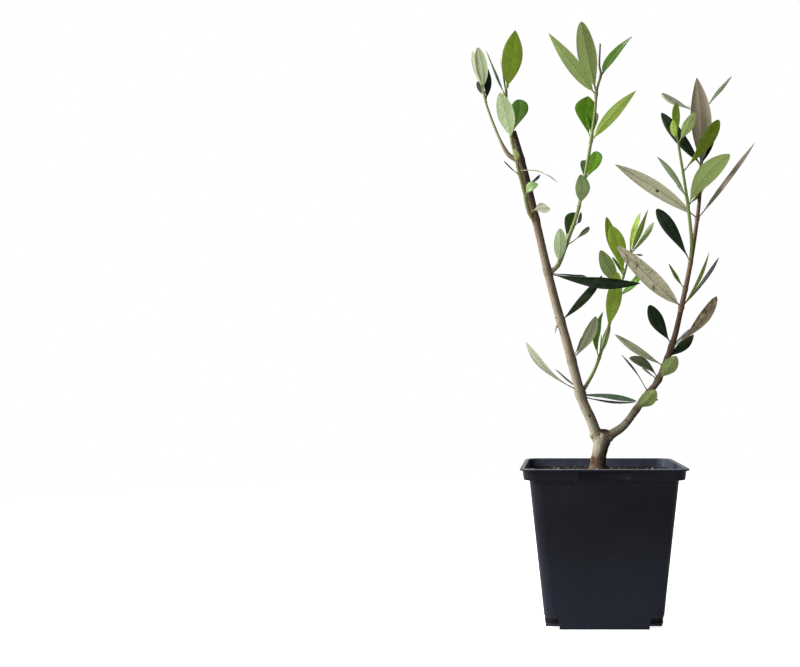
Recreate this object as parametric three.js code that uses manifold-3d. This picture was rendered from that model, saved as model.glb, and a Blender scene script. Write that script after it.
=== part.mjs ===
// Young two-stemmed olive in a square nursery pot.
//
// Millimetres, +Z up. The origin is the middle of the pot's underside, and the
// pot's front faces -Y. A leaf is described as it looks from the front: where
// it leaves its stem, the way it points, how far it swings to the back, and
// how far its blade is turned away from the viewer.
import * as THREE from "three";
import Module from "manifold-3d";
import { mergeVertices } from "three/addons/utils/BufferGeometryUtils.js";

const wasm = await Module();
wasm.setup();

// Clearance that every piece keeps to its neighbours, and the allowance that
// keeps it where a faceted limb is flatter than its round section.
const GAP = 0.3;
const FACET_ALLOWANCE = 0.06;

// Pot: half widths are measured from the middle to a flat side.
const POT_HEIGHT = 125;
const RIM_HALF = 66;
const RIM_THICKNESS = 1.6;
const BAND_TOP_HALF = 63.8;
const BAND_FOOT_HALF = 63.2;
const BAND_FOOT_Z = 115.9;
const BODY_TOP_HALF = 58.8;
const BODY_FOOT_HALF = 45.9;
const WALL = 1.4;
const FLOOR = 1.6;
const CORNER_SHARE = 0.19;
const CORNER_STEPS = 4;
const FOOT_HALF = 35;
const FOOT_RISE = 3;
const DRAIN_HEIGHT = 3.8;
const PANEL_HALF = 19.5;
const PANEL_DEPTH = 0.5;
const PANEL_MARGIN = 1.2;

// Soil: a low dome inside the pot.
const SOIL_EDGE_Z = 114.6;
const SOIL_SHOULDER = [40, 117.2];
const SOIL_TOP = [15, 117.9];

// Stems: [x, y, z, radius] at hand-picked stations, from the foot up.
const TRUNK = [
  [-4, 0, 112.4, 9.4],
  [-3.2, 0, 118.4, 8.2],
  [-2.8, 0, 124.4, 6.6],
  [-1.5, 0, 133.4, 6.1],
  [0.3, 0, 142.4, 7],
  [1, 0, 147.4, 6.2],
];
const PRUNED_LEADER = [
  [0.5, 0, 141.4, 6],
  [2.4, -0.6, 147.4, 4.7],
  [3.2, -1.2, 152.4, 3.6],
];
const LEFT_STEM = [
  [-2.7, 0, 144.4, 5],
  [-8.1, -1, 160.4, 4.4],
  [-16.4, -2, 179.7, 4.2],
  [-28.6, -6, 225, 3.95],
  [-41.2, -9, 270.4, 3.6],
  [-52.8, -12, 319.4, 3.4],
  [-61.4, -14, 357.4, 3.1],
  [-68, -15, 382.7, 2.9],
  [-73.8, -16, 404.9, 2.1],
];
const RIGHT_STEM = [
  [1.8, 0, 144.4, 4.6],
  [10.3, 1, 150.2, 3.9],
  [20.5, 2, 157.8, 3.4],
  [38, 5, 181, 2.9],
  [49.6, 8, 195.9, 2.75],
  [62.7, 12, 227.9, 2.6],
  [70.5, 15, 257.6, 2.35],
  [78.3, 18, 291.4, 2.1],
  [85.5, 21, 331.8, 1.8],
  [89.2, 23, 360, 1.6],
  [91.1, 25, 387.6, 1.4],
  [93.9, 29, 440, 0.9],
];
const OUTER_LEFT_STEM = [
  [-71.7, -15, 380.4, 2.3],
  [-78.8, -13, 385.9, 1.9],
  [-86.6, -9, 400.9, 1.15],
  [-96.9, -1, 428.1, 1.05],
  [-101.6, 4, 445.8, 0.9],
];
const LEFT_TIP_STEM = [
  [-56.3, -14, 327.4, 1.6],
  [-61.3, -18, 336.6, 1.6],
  [-64.3, -20, 351, 1.6],
  [-68.1, -22.5, 365.4, 1.5],
  [-74.8, -26, 393.4, 1.3],
  [-79, -30, 419.9, 1.1],
  [-79.5, -33, 434.6, 0.9],
];
const MIDDLE_STEM = [
  [-42.1, -10, 285.4, 2.1],
  [-35.3, -15, 292.4, 1.8],
  [-28.1, -21, 311, 1.6],
  [-19.5, -28, 335.4, 1.45],
  [-11.2, -38, 377.9, 1.3],
  [-6.6, -45, 409, 1.2],
  [-5, -49, 427.8, 1.1],
  [-1.8, -52, 439.7, 1],
  [-3, -54, 447.4, 0.85],
  [-2.4, -57, 463.6, 0.7],
];
const CENTRE_STEM = [
  [-16.5, -2, 183.4, 1.7],
  [-4, 7, 206.4, 1.4],
  [6.4, 16, 237.7, 1.3],
  [14.4, 22, 265.4, 1.2],
  [22.5, 27, 290.9, 1.05],
  [28, 31, 309.4, 0.8],
];
const GREEN_STEM = [
  [80.1, 20, 301.9, 1.7],
  [80.2, 14.5, 313.4, 1.55],
  [78.4, 10, 329.6, 1.5],
  [74.2, 3, 356.1, 1.3],
  [67.4, -6, 391.4, 1.1],
  [66.5, -8, 396.9, 0.9],
];

// Where the trunk's short arms end and the boughs begin, and where the right
// bough ends in its leafy top, measured along each stem.
const LEFT_ARM = 15;
const RIGHT_ARM = 13;
const RIGHT_BOUGH_END = 134;
const SAMPLES_PER_STATION = 6;
const TRUNK_SIDES = 16;
const BOUGH_SIDES = 12;
const SHOOT_SIDES = 7;

// Leaves: [along the stem, aim, swing, turn, length, width, bow, belly].
// Aim is the angle of the leaf in the front view, from +X towards +Z. Swing is
// how far it points to the back, turn is how far the upper face looks away
// from the viewer, bow is the sideways curve as a share of the length, and
// belly is where the blade is widest. Lengths in millimetres, turns in degrees.
const BELLY = 0.52;
const OUTER_LEFT_LEAVES = [
  [75.5, 96.5, -14, 155, 38, 12, 0.05],
  [75, 105, 24, 140, 51.5, 9, 0, 0.6],
  [65.5, 93, 38, 35, 57, 8.5, 0.03],
  [70.5, 112.5, 42, -50, 31, 6.5, -0.01],
];
const LEFT_TIP_LEAVES = [
  [110.5, 80, -16, 12, 49.5, 17, 0.02],
  [108, 99, 20, 80, 40, 11, 0],
  [106, 115.5, -30, 72, 41, 11, -0.02],
  [69.5, 104.5, -36, 170, 42, 14, 0.01],
  [75, 83, 36, -15, 51, 16, 0.06, 0.62],
  [48.5, 104, -30, 150, 15, 6, 0.05],
  [40.5, 143, -30, 78, 19, 8, -0.03, 0.6],
  [44.5, -25.5, -30, -72, 41, 7, -0.1],
  [30, 37, -8, -55, 18, 7, 0.05, 0.6],
  [20.5, 45, -35, -30, 18, 9, -0.2],
  [8, 7, -30, -160, 20, 9, -0.12, 0.62],
];
const MIDDLE_LEAVES = [
  [8.5, 86, -36, -160, 34, 11, 0.03],
  [31, 73.5, 30, 50, 32, 12, -0.13],
  [43, 60, 30, 60, 18, 8, 0.09, 0.6],
  [26.5, 42, 14, -62, 27, 8, 0.05, 0.75],
  [60.5, 87.5, -42, 15, 29.5, 12.5, 0.08],
  [82.5, 72, 40, -20, 45, 13, 0.06, 0.6],
  [83, 84, 48, 40, 34.5, 9, -0.04],
  [114, 45, -22, -160, 54, 9.5, -0.02, 0.45],
  [115.5, 92.5, 22, 20, 46, 18, -0.08, 0.62],
  [118.5, 83, 40, -55, 36, 8, 0.04],
  [151, 133, -24, 165, 61.5, 11, -0.01, 0.42],
  [152.5, 106, -34, -165, 57.5, 16.5, -0.01, 0.56],
  [166, 56, 18, -45, 51.5, 13, -0.04, 0.4],
];
const CENTRE_LEAVES = [
  [36, 85.5, -14, 45, 40.5, 10, -0.11],
  [36, 69.5, 38, -140, 40.5, 8, -0.01],
  [62.5, 80.5, -16, 15, 51.5, 13.5, 0.01],
  [105, 123, -26, -170, 38, 13.5, -0.03],
  [114, 105, -18, 10, 46.5, 14, 0.04, 0.6],
  [118, 105.5, 16, 30, 57.5, 12.5, -0.03],
  [114, 111, 40, 60, 29, 8, 0],
  [137, 68, -12, -130, 42, 8, 0.02, 0.42],
  [135, 75, 26, -60, 50, 9, -0.03],
  [135.5, 53.5, -4, -50, 36, 7.5, 0.04],
  [137, -6, 10, -60, 12, 4, 0.05],
  [93.5, 48, 30, -50, 37, 10, 0.06],
];
const RIGHT_CROWN_LEAVES = [
  [138, 140, -22, 165, 81.5, 14.5, -0.01, 0.46],
  [137.5, 62.5, 6, -120, 56.5, 7.5, 0.05],
  [137.5, 52, 26, -65, 70, 7.5, 0.02],
  [154, 125, -16, 50, 27.5, 6.5, -0.03],
  [178.5, 123, -8, 10, 56, 12.5, 0.02, 0.65],
  [219.5, 149.5, -12, 170, 87.5, 12.5, 0.01],
  [218.5, 53, 5, 118, 90.5, 9.5, 0.01],
  [267.5, 119.5, 20, 15, 69.5, 13, -0.01],
  [266, 94.5, -14, 172, 78, 18, 0.02, 0.5],
  [267.5, 73.5, 34, -40, 61.5, 12, 0.02],
  [315, 147.5, 8, 50, 43, 14, -0.03, 0.74],
  [317, 53.5, 14, -62, 50.5, 8, -0.02, 0.6],
];
const GREEN_LEAVES = [
  [52.5, 132.5, -28, -145, 47.5, 8, 0.03],
  [46, 50.5, -34, -160, 57.5, 17, -0.08, 0.56],
  [75.5, 55.5, 6, 15, 58.5, 12, 0.03, 0.65],
  [101, 87.5, 26, 20, 47, 8, -0.04, 0.6],
  [101, 107, -24, 140, 20, 6, -0.1],
  [101.5, 61, -38, -165, 30, 9.5, 0.01],
];
const LEFT_BOUGH_LEAVES = [
  [146.5, -6.5, -3, -30, 78, 11.5, 0.04, 0.58],
  [104.5, 49, 8, -35, 54, 10, 0.02],
  [70.5, 61, -20, -160, 44, 10.5, 0.05, 0.62],
  [44.5, 138, -16, 125, 62.5, 9, -0.09, 0.68],
  [41, -7, -14, -35, 48, 5.5, -0.03, 0.55],
  [39.5, -6, 16, -68, 49.5, 5, 0.04],
];
const RIGHT_BOUGH_LEAVES = [
  [38.5, 47.5, -42, -170, 29.5, 12.5, 0.02],
  [48, 4, 12, -60, 14, 3.5, 0],
  [56, 123.5, 14, 80, 41.5, 7, 0.04],
  [70.5, 144, -22, 35, 34, 9.5, 0.13, 0.6],
  [83.5, 145.5, 12, 125, 51.5, 10.5, -0.01],
  [71.5, 56.5, -45, -170, 31.5, 13, 0.03],
  [91, 41.5, 16, -35, 34, 10, 0.02, 0.5],
  [100.5, 50, -26, -150, 61, 11.5, 0.06, 0.68],
  [103.5, 120.5, -8, 10, 40, 12.8, -0.02, 0.6],
];

// The far side of the crown grows by a rule. A leaf that shows the viewer its
// broad face may have a partner at its back, on the same node of the stem: it
// lies behind its leaf for the viewer, points further away and stands edge on.
const PARTNER_CHANCE = 0.92;
const PARTNER_LEAST_LENGTH = 28;
const PARTNER_LEAST_FACE = 4;
const PARTNER_MOST_SWING = 22;
const PARTNER_AIM = [-2, 2];
const PARTNER_SWING = [46, 66];
const PARTNER_TURN = [76, 88];
const PARTNER_SHARE = [0.7, 0.95];
const PARTNER_LONGEST = 54;
const PARTNER_WIDTH_SHARE = 0.85;
const PARTNER_NUMBER = 50;

// The space that the crown keeps to: least and most x, y and z of a leaf tip.
const CROWN_SPACE = [
  [-120, 145],
  [-90, 85],
  [155, 495],
];

// How a leaf is made: stations along it, petiole, thickness and keel.
const LEAF_STATIONS = [0, 0.09, 0.25, 0.45, 0.66, 0.86, 1];
const PETIOLE_LENGTH = 5;
const PETIOLE_RADIUS = 0.6;
const BLADE_THICKNESS = 1;
const TIP_RADIUS = 0.3;
const OUTLINE_FULLNESS = 0.82;
const KEEL = [0.12, 0.32];
const DOME = 0.04;
const SEED = 4.17;

const PLASTIC = { color: 0x1e2127, roughness: 0.5, metalness: 0 };
const PEAT = { color: 0x33231a, roughness: 1, metalness: 0 };
const BARK = { color: 0x8a7a63, roughness: 0.9, metalness: 0 };
const RED_BARK = { color: 0x6b5344, roughness: 0.8, metalness: 0 };
const FRESH_LEAF = { color: 0x6f8f33, roughness: 0.5, metalness: 0 };
const OLD_LEAF = { color: 0x3b4a37, roughness: 0.55, metalness: 0 };
const DRY_LEAF = { color: 0x9c9580, roughness: 0.7, metalness: 0 };

const VIEW = new THREE.Vector3(0, -1, 0);
const EYE = new THREE.Vector3(-34, -740, 178);

// A fixed draw between 0 and 1 for a leaf's number and each thing it decides.
function draw(number, salt) {
  const wave = Math.sin(SEED + number * 12.9898 + salt * 78.233) * 43758.5453;
  return wave - Math.floor(wave);
}

function drawFrom([least, most], number, salt) {
  return THREE.MathUtils.lerp(least, most, draw(number, salt));
}

// A closed solid through rings of points, each end closed by a flat fan.
function loft(rings) {
  const count = rings[0].length;
  const last = rings.length - 1;
  const points = rings.flat();
  for (const end of [0, last]) {
    const middle = new THREE.Vector3();
    rings[end].forEach((p) => middle.add(p));
    points.push(middle.divideScalar(count));
  }
  const faces = [];
  for (let r = 0; r < last; r++) {
    for (let k = 0; k < count; k++) {
      const a = r * count + k;
      const b = r * count + ((k + 1) % count);
      faces.push(a, b, b + count, a, b + count, a + count);
    }
  }
  const foot = rings.length * count;
  for (let k = 0; k < count; k++) {
    const next = (k + 1) % count;
    faces.push(foot, next, k);
    faces.push(foot + 1, last * count + k, last * count + next);
  }
  const geometry = new THREE.BufferGeometry().setFromPoints(points);
  geometry.setIndex(faces);
  return geometry;
}

function signedVolume(geometry) {
  const position = geometry.getAttribute("position");
  const index = geometry.getIndex();
  const corner = [0, 1, 2].map(() => new THREE.Vector3());
  let sum = 0;
  for (let i = 0; i < index.count; i += 3) {
    corner.forEach((c, k) => c.fromBufferAttribute(position, index.getX(i + k)));
    sum += corner[0].dot(corner[1].clone().cross(corner[2]));
  }
  return sum / 6;
}

function toSolid(geometry) {
  const bare = geometry.clone();
  bare.deleteAttribute("normal");
  bare.deleteAttribute("uv");
  const merged = mergeVertices(bare, 1e-5);
  const triVerts = new Uint32Array(merged.getIndex().array);
  if (signedVolume(merged) < 0) {
    for (let i = 0; i < triVerts.length; i += 3) {
      const kept = triVerts[i];
      triVerts[i] = triVerts[i + 1];
      triVerts[i + 1] = kept;
    }
  }
  const vertProperties = new Float32Array(merged.getAttribute("position").array);
  return new wasm.Manifold(new wasm.Mesh({ numProp: 3, vertProperties, triVerts }));
}

function toMesh(name, solid, finish) {
  const { vertProperties, triVerts } = solid.getMesh();
  const geometry = new THREE.BufferGeometry();
  geometry.setAttribute("position", new THREE.BufferAttribute(vertProperties, 3));
  geometry.setIndex(new THREE.BufferAttribute(triVerts, 1));
  const mesh = new THREE.Mesh(geometry, new THREE.MeshStandardMaterial(finish));
  mesh.name = name;
  return mesh;
}

// The biggest piece of a solid that a cut may have left in several.
function mainPiece(solid) {
  return solid.decompose().sort((a, b) => b.volume() - a.volume())[0];
}

function box(x0, x1, y0, y1, z0, z1) {
  const geometry = new THREE.BoxGeometry(x1 - x0, y1 - y0, z1 - z0);
  geometry.translate((x0 + x1) / 2, (y0 + y1) / 2, (z0 + z1) / 2);
  return toSolid(geometry);
}

// A ring round a square with round corners, inset by a wall from the outside.
function squareRing(half, z, inset = 0) {
  const corner = CORNER_SHARE * half - inset;
  const reach = half - inset - corner;
  const ring = [];
  for (let side = 0; side < 4; side++) {
    const start = (side * Math.PI) / 2;
    const cx = Math.sign(Math.cos(start + Math.PI / 4)) * reach;
    const cy = Math.sign(Math.sin(start + Math.PI / 4)) * reach;
    for (let k = 0; k <= CORNER_STEPS; k++) {
      const angle = start + (k / CORNER_STEPS) * (Math.PI / 2);
      ring.push(new THREE.Vector3(cx + corner * Math.cos(angle), cy + corner * Math.sin(angle), z));
    }
  }
  return ring;
}

function bodyHalf(z) {
  return BODY_FOOT_HALF + ((BODY_TOP_HALF - BODY_FOOT_HALF) * z) / BAND_FOOT_Z;
}

// The two bars of the cross-shaped foot, inside the given half width.
function crossBars(half, z0, z1) {
  const long = BODY_FOOT_HALF + 2;
  return box(-half, half, -long, long, z0, z1).add(box(-long, long, -half, half, z0, z1));
}

// Four copies of a block in the +X+Y corner, one in each corner.
function inCorners(z0, z1, from) {
  const far = RIM_HALF;
  const blocks = [
    box(from, far, from, far, z0, z1),
    box(-far, -from, from, far, z0, z1),
    box(-far, -from, -far, -from, z0, z1),
    box(from, far, -far, -from, z0, z1),
  ];
  return blocks.reduce((all, block) => all.add(block));
}

function bandPanels() {
  const z0 = BAND_FOOT_Z + PANEL_MARGIN;
  const z1 = POT_HEIGHT - RIM_THICKNESS - PANEL_MARGIN / 2;
  const inner = BAND_FOOT_HALF - PANEL_DEPTH;
  const outer = RIM_HALF;
  const front = box(-PANEL_HALF, PANEL_HALF, -outer, -inner, z0, z1);
  const back = box(-PANEL_HALF, PANEL_HALF, inner, outer, z0, z1);
  const left = box(-outer, -inner, -PANEL_HALF, PANEL_HALF, z0, z1);
  const right = box(inner, outer, -PANEL_HALF, PANEL_HALF, z0, z1);
  return front.add(back).add(left).add(right);
}

function makePot() {
  const rimFoot = POT_HEIGHT - RIM_THICKNESS;
  const ledge = BAND_FOOT_Z + WALL;
  const outside = toSolid(
    loft([
      squareRing(BODY_FOOT_HALF - 0.8, 0),
      squareRing(bodyHalf(1), 1),
      squareRing(BODY_TOP_HALF, BAND_FOOT_Z),
      squareRing(BAND_FOOT_HALF - 1.2, BAND_FOOT_Z),
      squareRing(BAND_FOOT_HALF, BAND_FOOT_Z + 1.2),
      squareRing(BAND_TOP_HALF, rimFoot),
      squareRing(RIM_HALF, rimFoot),
      squareRing(RIM_HALF, POT_HEIGHT),
    ]),
  );
  const raisedFloor = FOOT_RISE + FLOOR;
  const hollow = toSolid(
    loft([
      squareRing(bodyHalf(FLOOR), FLOOR, WALL),
      squareRing(BODY_TOP_HALF, BAND_FOOT_Z, WALL),
      squareRing(BODY_TOP_HALF, ledge, WALL),
      squareRing(BAND_FOOT_HALF, ledge, WALL),
      squareRing(BAND_TOP_HALF, POT_HEIGHT + 1, WALL),
    ]),
  );
  const underFloor = box(-RIM_HALF, RIM_HALF, -RIM_HALF, RIM_HALF, 0, raisedFloor);
  const lowHollow = hollow.intersect(crossBars(FOOT_HALF - FLOOR, 0, raisedFloor + 1));
  return outside
    .subtract(hollow.subtract(underFloor))
    .subtract(lowHollow)
    .subtract(inCorners(-1, FOOT_RISE, FOOT_HALF))
    .subtract(inCorners(raisedFloor, raisedFloor + DRAIN_HEIGHT, FOOT_HALF + 1))
    .subtract(bandPanels());
}

function makeSoil() {
  const foot = FOOT_RISE + FLOOR + GAP;
  const fill = WALL + GAP;
  const shoulder = SOIL_SHOULDER;
  const bulk = toSolid(
    loft([
      squareRing(bodyHalf(foot), foot, fill),
      squareRing(bodyHalf(SOIL_EDGE_Z - 3), SOIL_EDGE_Z - 3, fill),
      squareRing(bodyHalf(SOIL_EDGE_Z) - 2, SOIL_EDGE_Z, fill),
      squareRing(shoulder[0], shoulder[1]),
      squareRing(SOIL_TOP[0], SOIL_TOP[1]),
    ]),
  );
  const lower = toSolid(
    loft([
      squareRing(bodyHalf(FLOOR), FLOOR + GAP, fill),
      squareRing(bodyHalf(foot), foot + 1, fill),
    ]),
  );
  const cross = crossBars(FOOT_HALF - FLOOR - GAP, FLOOR, foot + 1);
  return bulk.add(lower.intersect(cross));
}

// The samples of a stem: points, radii and distance along.
function strand(stations) {
  const path = new THREE.CatmullRomCurve3(
    stations.map(([x, y, z]) => new THREE.Vector3(x, y, z)),
    false,
    "catmullrom",
    0.5,
  );
  const spans = stations.length - 1;
  const samples = [];
  let along = 0;
  for (let i = 0; i <= spans * SAMPLES_PER_STATION; i++) {
    const place = i / SAMPLES_PER_STATION;
    const span = Math.min(Math.floor(place), spans - 1);
    const share = place - span;
    const point = path.getPoint(place / spans);
    const radius = stations[span][3] * (1 - share) + stations[span + 1][3] * share;
    if (i > 0) {
      along += point.distanceTo(samples[i - 1].point);
    }
    samples.push({ point, radius, along });
  }
  return samples;
}

function strandAt(samples, along) {
  let i = 1;
  while (i < samples.length - 1 && samples[i].along < along) {
    i++;
  }
  const [a, b] = [samples[i - 1], samples[i]];
  const share = THREE.MathUtils.clamp((along - a.along) / (b.along - a.along), 0, 1);
  return {
    point: a.point.clone().lerp(b.point, share),
    radius: THREE.MathUtils.lerp(a.radius, b.radius, share),
    along,
  };
}

// One tapering limb along a strand, made fatter by the given allowance.
function limb(samples, sides, { from = 0, to = Infinity, extra = 0 } = {}) {
  const end = Math.min(to, samples[samples.length - 1].along);
  const inside = samples.filter((s) => s.along > from + 0.5 && s.along < end - 0.5);
  const kept = [strandAt(samples, from), ...inside, strandAt(samples, end)];
  let across = new THREE.Vector3(1, 0, 0);
  const rings = kept.map((sample, i) => {
    const before = kept[Math.max(i - 1, 0)].point;
    const after = kept[Math.min(i + 1, kept.length - 1)].point;
    const along = after.clone().sub(before).normalize();
    across = across.clone().addScaledVector(along, -across.dot(along)).normalize();
    const other = along.clone().cross(across);
    const ring = [];
    for (let k = 0; k < sides; k++) {
      const angle = (k / sides) * 2 * Math.PI;
      ring.push(
        sample.point
          .clone()
          .addScaledVector(across, Math.cos(angle) * (sample.radius + extra))
          .addScaledVector(other, Math.sin(angle) * (sample.radius + extra)),
      );
    }
    return ring;
  });
  return toSolid(loft(rings));
}

function radians(degrees) {
  return THREE.MathUtils.degToRad(degrees);
}

// The way a leaf points from its root.
function heading(aim, swing) {
  return new THREE.Vector3(
    Math.cos(radians(aim)) * Math.cos(radians(swing)),
    Math.sin(radians(swing)),
    Math.sin(radians(aim)) * Math.cos(radians(swing)),
  );
}

// The directions to the viewer and to the right of a leaf that points ahead.
function beside(ahead) {
  const toViewer = VIEW.clone().addScaledVector(ahead, -VIEW.dot(ahead)).normalize();
  return { toViewer, toRight: ahead.clone().cross(toViewer) };
}

// The middle line and the blade's directions of one leaf.
function leafFrame(samples, [along, aim, swing, turn, length, , bow]) {
  const root = strandAt(samples, along).point;
  const ahead = heading(aim, swing);
  const { toViewer, toRight } = beside(ahead);
  const upper = toViewer
    .clone()
    .multiplyScalar(Math.cos(radians(turn)))
    .addScaledVector(toRight, Math.sin(radians(turn)));
  const across = ahead.clone().cross(upper);
  const middle = (share) => {
    const sag = 4 * share * (1 - share) * length;
    return root
      .clone()
      .addScaledVector(ahead, share * length)
      .addScaledVector(toRight, bow * sag)
      .addScaledVector(toViewer, DOME * sag);
  };
  return { upper, across, middle };
}

function halfWidth(share, length, width, belly) {
  const petiole = PETIOLE_LENGTH / length;
  if (share <= petiole) {
    return PETIOLE_RADIUS;
  }
  if (share === 1) {
    return TIP_RADIUS;
  }
  const place = ((share - petiole) / (1 - petiole)) ** (Math.log(0.5) / Math.log(belly));
  return Math.max(PETIOLE_RADIUS, (width / 2) * Math.sin(Math.PI * place) ** OUTLINE_FULLNESS);
}

// A blade with a keel: its edges stand above the rib on the upper side. The
// allowance makes a fatter copy, which shows whether the blade has room.
function leaf(samples, { row, number }, allowance = 0) {
  const [, , , , length, width, , belly = BELLY] = row;
  const { upper, across, middle } = leafFrame(samples, row);
  const keel = drawFrom(KEEL, number, 1);
  const rings = LEAF_STATIONS.map((share) => {
    const half = halfWidth(share, length, width, belly);
    const onBlade = half > PETIOLE_RADIUS;
    const lift = onBlade ? keel * half : 0;
    const blade = onBlade ? BLADE_THICKNESS / 2 : PETIOLE_RADIUS;
    const thick = (share === 1 ? TIP_RADIUS : blade) + allowance;
    const rib = middle(share);
    const edge = (reach) =>
      rib.clone().addScaledVector(across, reach).addScaledVector(upper, lift);
    return [
      edge(-half - allowance),
      rib.clone().addScaledVector(upper, -thick),
      edge(half + allowance),
      rib.clone().addScaledVector(upper, thick),
    ];
  });
  return toSolid(loft(rings));
}

// A leaf is skipped where its tip would leave the crown's space, or where it
// would touch a limb or a neighbour.
function hasRoom({ line, carrier }, item, others) {
  const tip = leafFrame(line, item.row).middle(1);
  const inside = CROWN_SPACE.every(
    ([least, most], axis) => tip.getComponent(axis) > least && tip.getComponent(axis) < most,
  );
  const fatter = leaf(line, item, GAP + FACET_ALLOWANCE);
  const freed = carrier ? fatter.subtract(carrier) : fatter;
  return inside && others.every((other) => freed.intersect(other).isEmpty());
}

// The partner that the rule may grow at the back of a leaf.
function partnerOf(line, { row, number }) {
  const [along, aim, swing, turn, length, width] = row;
  const face = width * Math.abs(Math.cos(radians(turn)));
  const facesViewer = swing <= PARTNER_MOST_SWING && face >= PARTNER_LEAST_FACE;
  if (!facesViewer || length < PARTNER_LEAST_LENGTH || draw(number, 2) > PARTNER_CHANCE) {
    return [];
  }
  const side = draw(number, 3) < 0.5 ? -1 : 1;
  const back = strandAt(line, along).point.sub(EYE).normalize();
  const seen = heading(aim + drawFrom(PARTNER_AIM, number, 4), swing);
  seen.addScaledVector(back, -seen.dot(back)).normalize();
  const away = radians(drawFrom(PARTNER_SWING, number, 5));
  const ahead = seen.multiplyScalar(Math.cos(away)).addScaledVector(back, Math.sin(away));
  const { toViewer, toRight } = beside(ahead);
  const flat = Math.atan2(-back.dot(toRight), -back.dot(toViewer));
  const partner = [
    along,
    THREE.MathUtils.radToDeg(Math.atan2(ahead.z, ahead.x)),
    THREE.MathUtils.radToDeg(Math.asin(ahead.y)),
    THREE.MathUtils.radToDeg(flat) + side * drawFrom(PARTNER_TURN, number, 6),
    Math.min(length * drawFrom(PARTNER_SHARE, number, 7), PARTNER_LONGEST),
    width * PARTNER_WIDTH_SHARE,
    0,
  ];
  return [{ row: partner, number: number + PARTNER_NUMBER }];
}

function numbered(rows, first) {
  return rows.map((row, i) => ({ row, number: first + i }));
}

const trunkLine = strand(TRUNK);
const leaderLine = strand(PRUNED_LEADER);
const leftLine = strand(LEFT_STEM);
const rightLine = strand(RIGHT_STEM);

// The limbs with clearance round them, which cut the roots of what they carry.
const leftClear = limb(leftLine, BOUGH_SIDES, { extra: GAP + FACET_ALLOWANCE });
const rightClear = limb(rightLine, BOUGH_SIDES, { extra: GAP + FACET_ALLOWANCE });

function makeTrunk() {
  const below = box(-RIM_HALF, RIM_HALF, -RIM_HALF, RIM_HALF, 0, SOIL_TOP[1] + GAP);
  return limb(trunkLine, TRUNK_SIDES)
    .add(limb(leaderLine, TRUNK_SIDES))
    .add(limb(leftLine, TRUNK_SIDES, { to: LEFT_ARM }))
    .add(limb(rightLine, TRUNK_SIDES, { to: RIGHT_ARM }))
    .subtract(below);
}

// Every foliage node: the line it grows on, the limb whose clearance cuts its
// root, its leaves, and its solid so far. A shoot starts as its bare stem.
function shootNode(name, line, carrier, rows, first, finish) {
  const isTop = carrier === null;
  const stem = limb(line, SHOOT_SIDES, { from: isTop ? RIGHT_BOUGH_END + GAP : 0 });
  const solid = isTop ? stem : mainPiece(stem.subtract(carrier));
  return { name, line, carrier, solid, items: numbered(rows, first), finish, isShoot: true };
}

// A leaf straight on a bough is a node of its own.
function leafNode(name, line, carrier, item, finish) {
  return { name, line, carrier, solid: null, items: [item], finish, isShoot: false };
}

function boughLeaves(bough, line, carrier, rows, first) {
  return numbered(rows, first).map((item, i) =>
    leafNode(`${bough}_leaf_${i + 1}`, line, carrier, item, i % 3 === 0 ? DRY_LEAF : OLD_LEAF),
  );
}

// What a node's leaves keep clear of: the limbs that don't carry them, and the
// rest of the foliage.
function neighboursOf(node) {
  const limbs = [trunk, leftBough, rightBough].filter((_, i) => {
    const ownLimb = [null, leftClear, rightClear][i];
    return node.isShoot || ownLimb !== node.carrier;
  });
  const foliage = nodes.filter((other) => other !== node && other.solid);
  return [...limbs, ...foliage.map((other) => other.solid)];
}

function growLeaves(node, items) {
  const others = neighboursOf(node);
  for (const item of items.filter((wanted) => hasRoom(node, wanted, others))) {
    const blade = leaf(node.line, item);
    const freed = node.carrier ? mainPiece(blade.subtract(node.carrier)) : blade;
    node.solid = node.solid ? node.solid.add(freed) : freed;
  }
}

const trunk = makeTrunk();
const leftBough = limb(leftLine, BOUGH_SIDES, { from: LEFT_ARM + GAP });
const rightBough = limb(rightLine, BOUGH_SIDES, { from: RIGHT_ARM + GAP, to: RIGHT_BOUGH_END });

const nodes = [
  shootNode("right_crown", rightLine, null, RIGHT_CROWN_LEAVES, 100, OLD_LEAF),
  shootNode("outer_left_shoot", strand(OUTER_LEFT_STEM), leftClear, OUTER_LEFT_LEAVES, 200, FRESH_LEAF),
  shootNode("left_tip_shoot", strand(LEFT_TIP_STEM), leftClear, LEFT_TIP_LEAVES, 300, FRESH_LEAF),
  shootNode("middle_shoot", strand(MIDDLE_STEM), leftClear, MIDDLE_LEAVES, 400, FRESH_LEAF),
  shootNode("centre_shoot", strand(CENTRE_STEM), leftClear, CENTRE_LEAVES, 500, FRESH_LEAF),
  shootNode("green_shoot", strand(GREEN_STEM), rightClear, GREEN_LEAVES, 600, FRESH_LEAF),
  ...boughLeaves("left_bough", leftLine, leftClear, LEFT_BOUGH_LEAVES, 700),
  ...boughLeaves("right_bough", rightLine, rightClear, RIGHT_BOUGH_LEAVES, 800),
];

// The measured leaves come first, and then the rule fills the back.
for (const node of nodes) {
  growLeaves(node, node.items);
}
for (const node of [...nodes]) {
  for (const partner of node.items.flatMap((item) => partnerOf(node.line, item))) {
    if (node.isShoot) {
      growLeaves(node, [partner]);
      continue;
    }
    const back = leafNode(`${node.name}_back`, node.line, node.carrier, partner, OLD_LEAF);
    growLeaves(back, [partner]);
    if (back.solid) {
      nodes.push(back);
    }
  }
}

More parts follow.
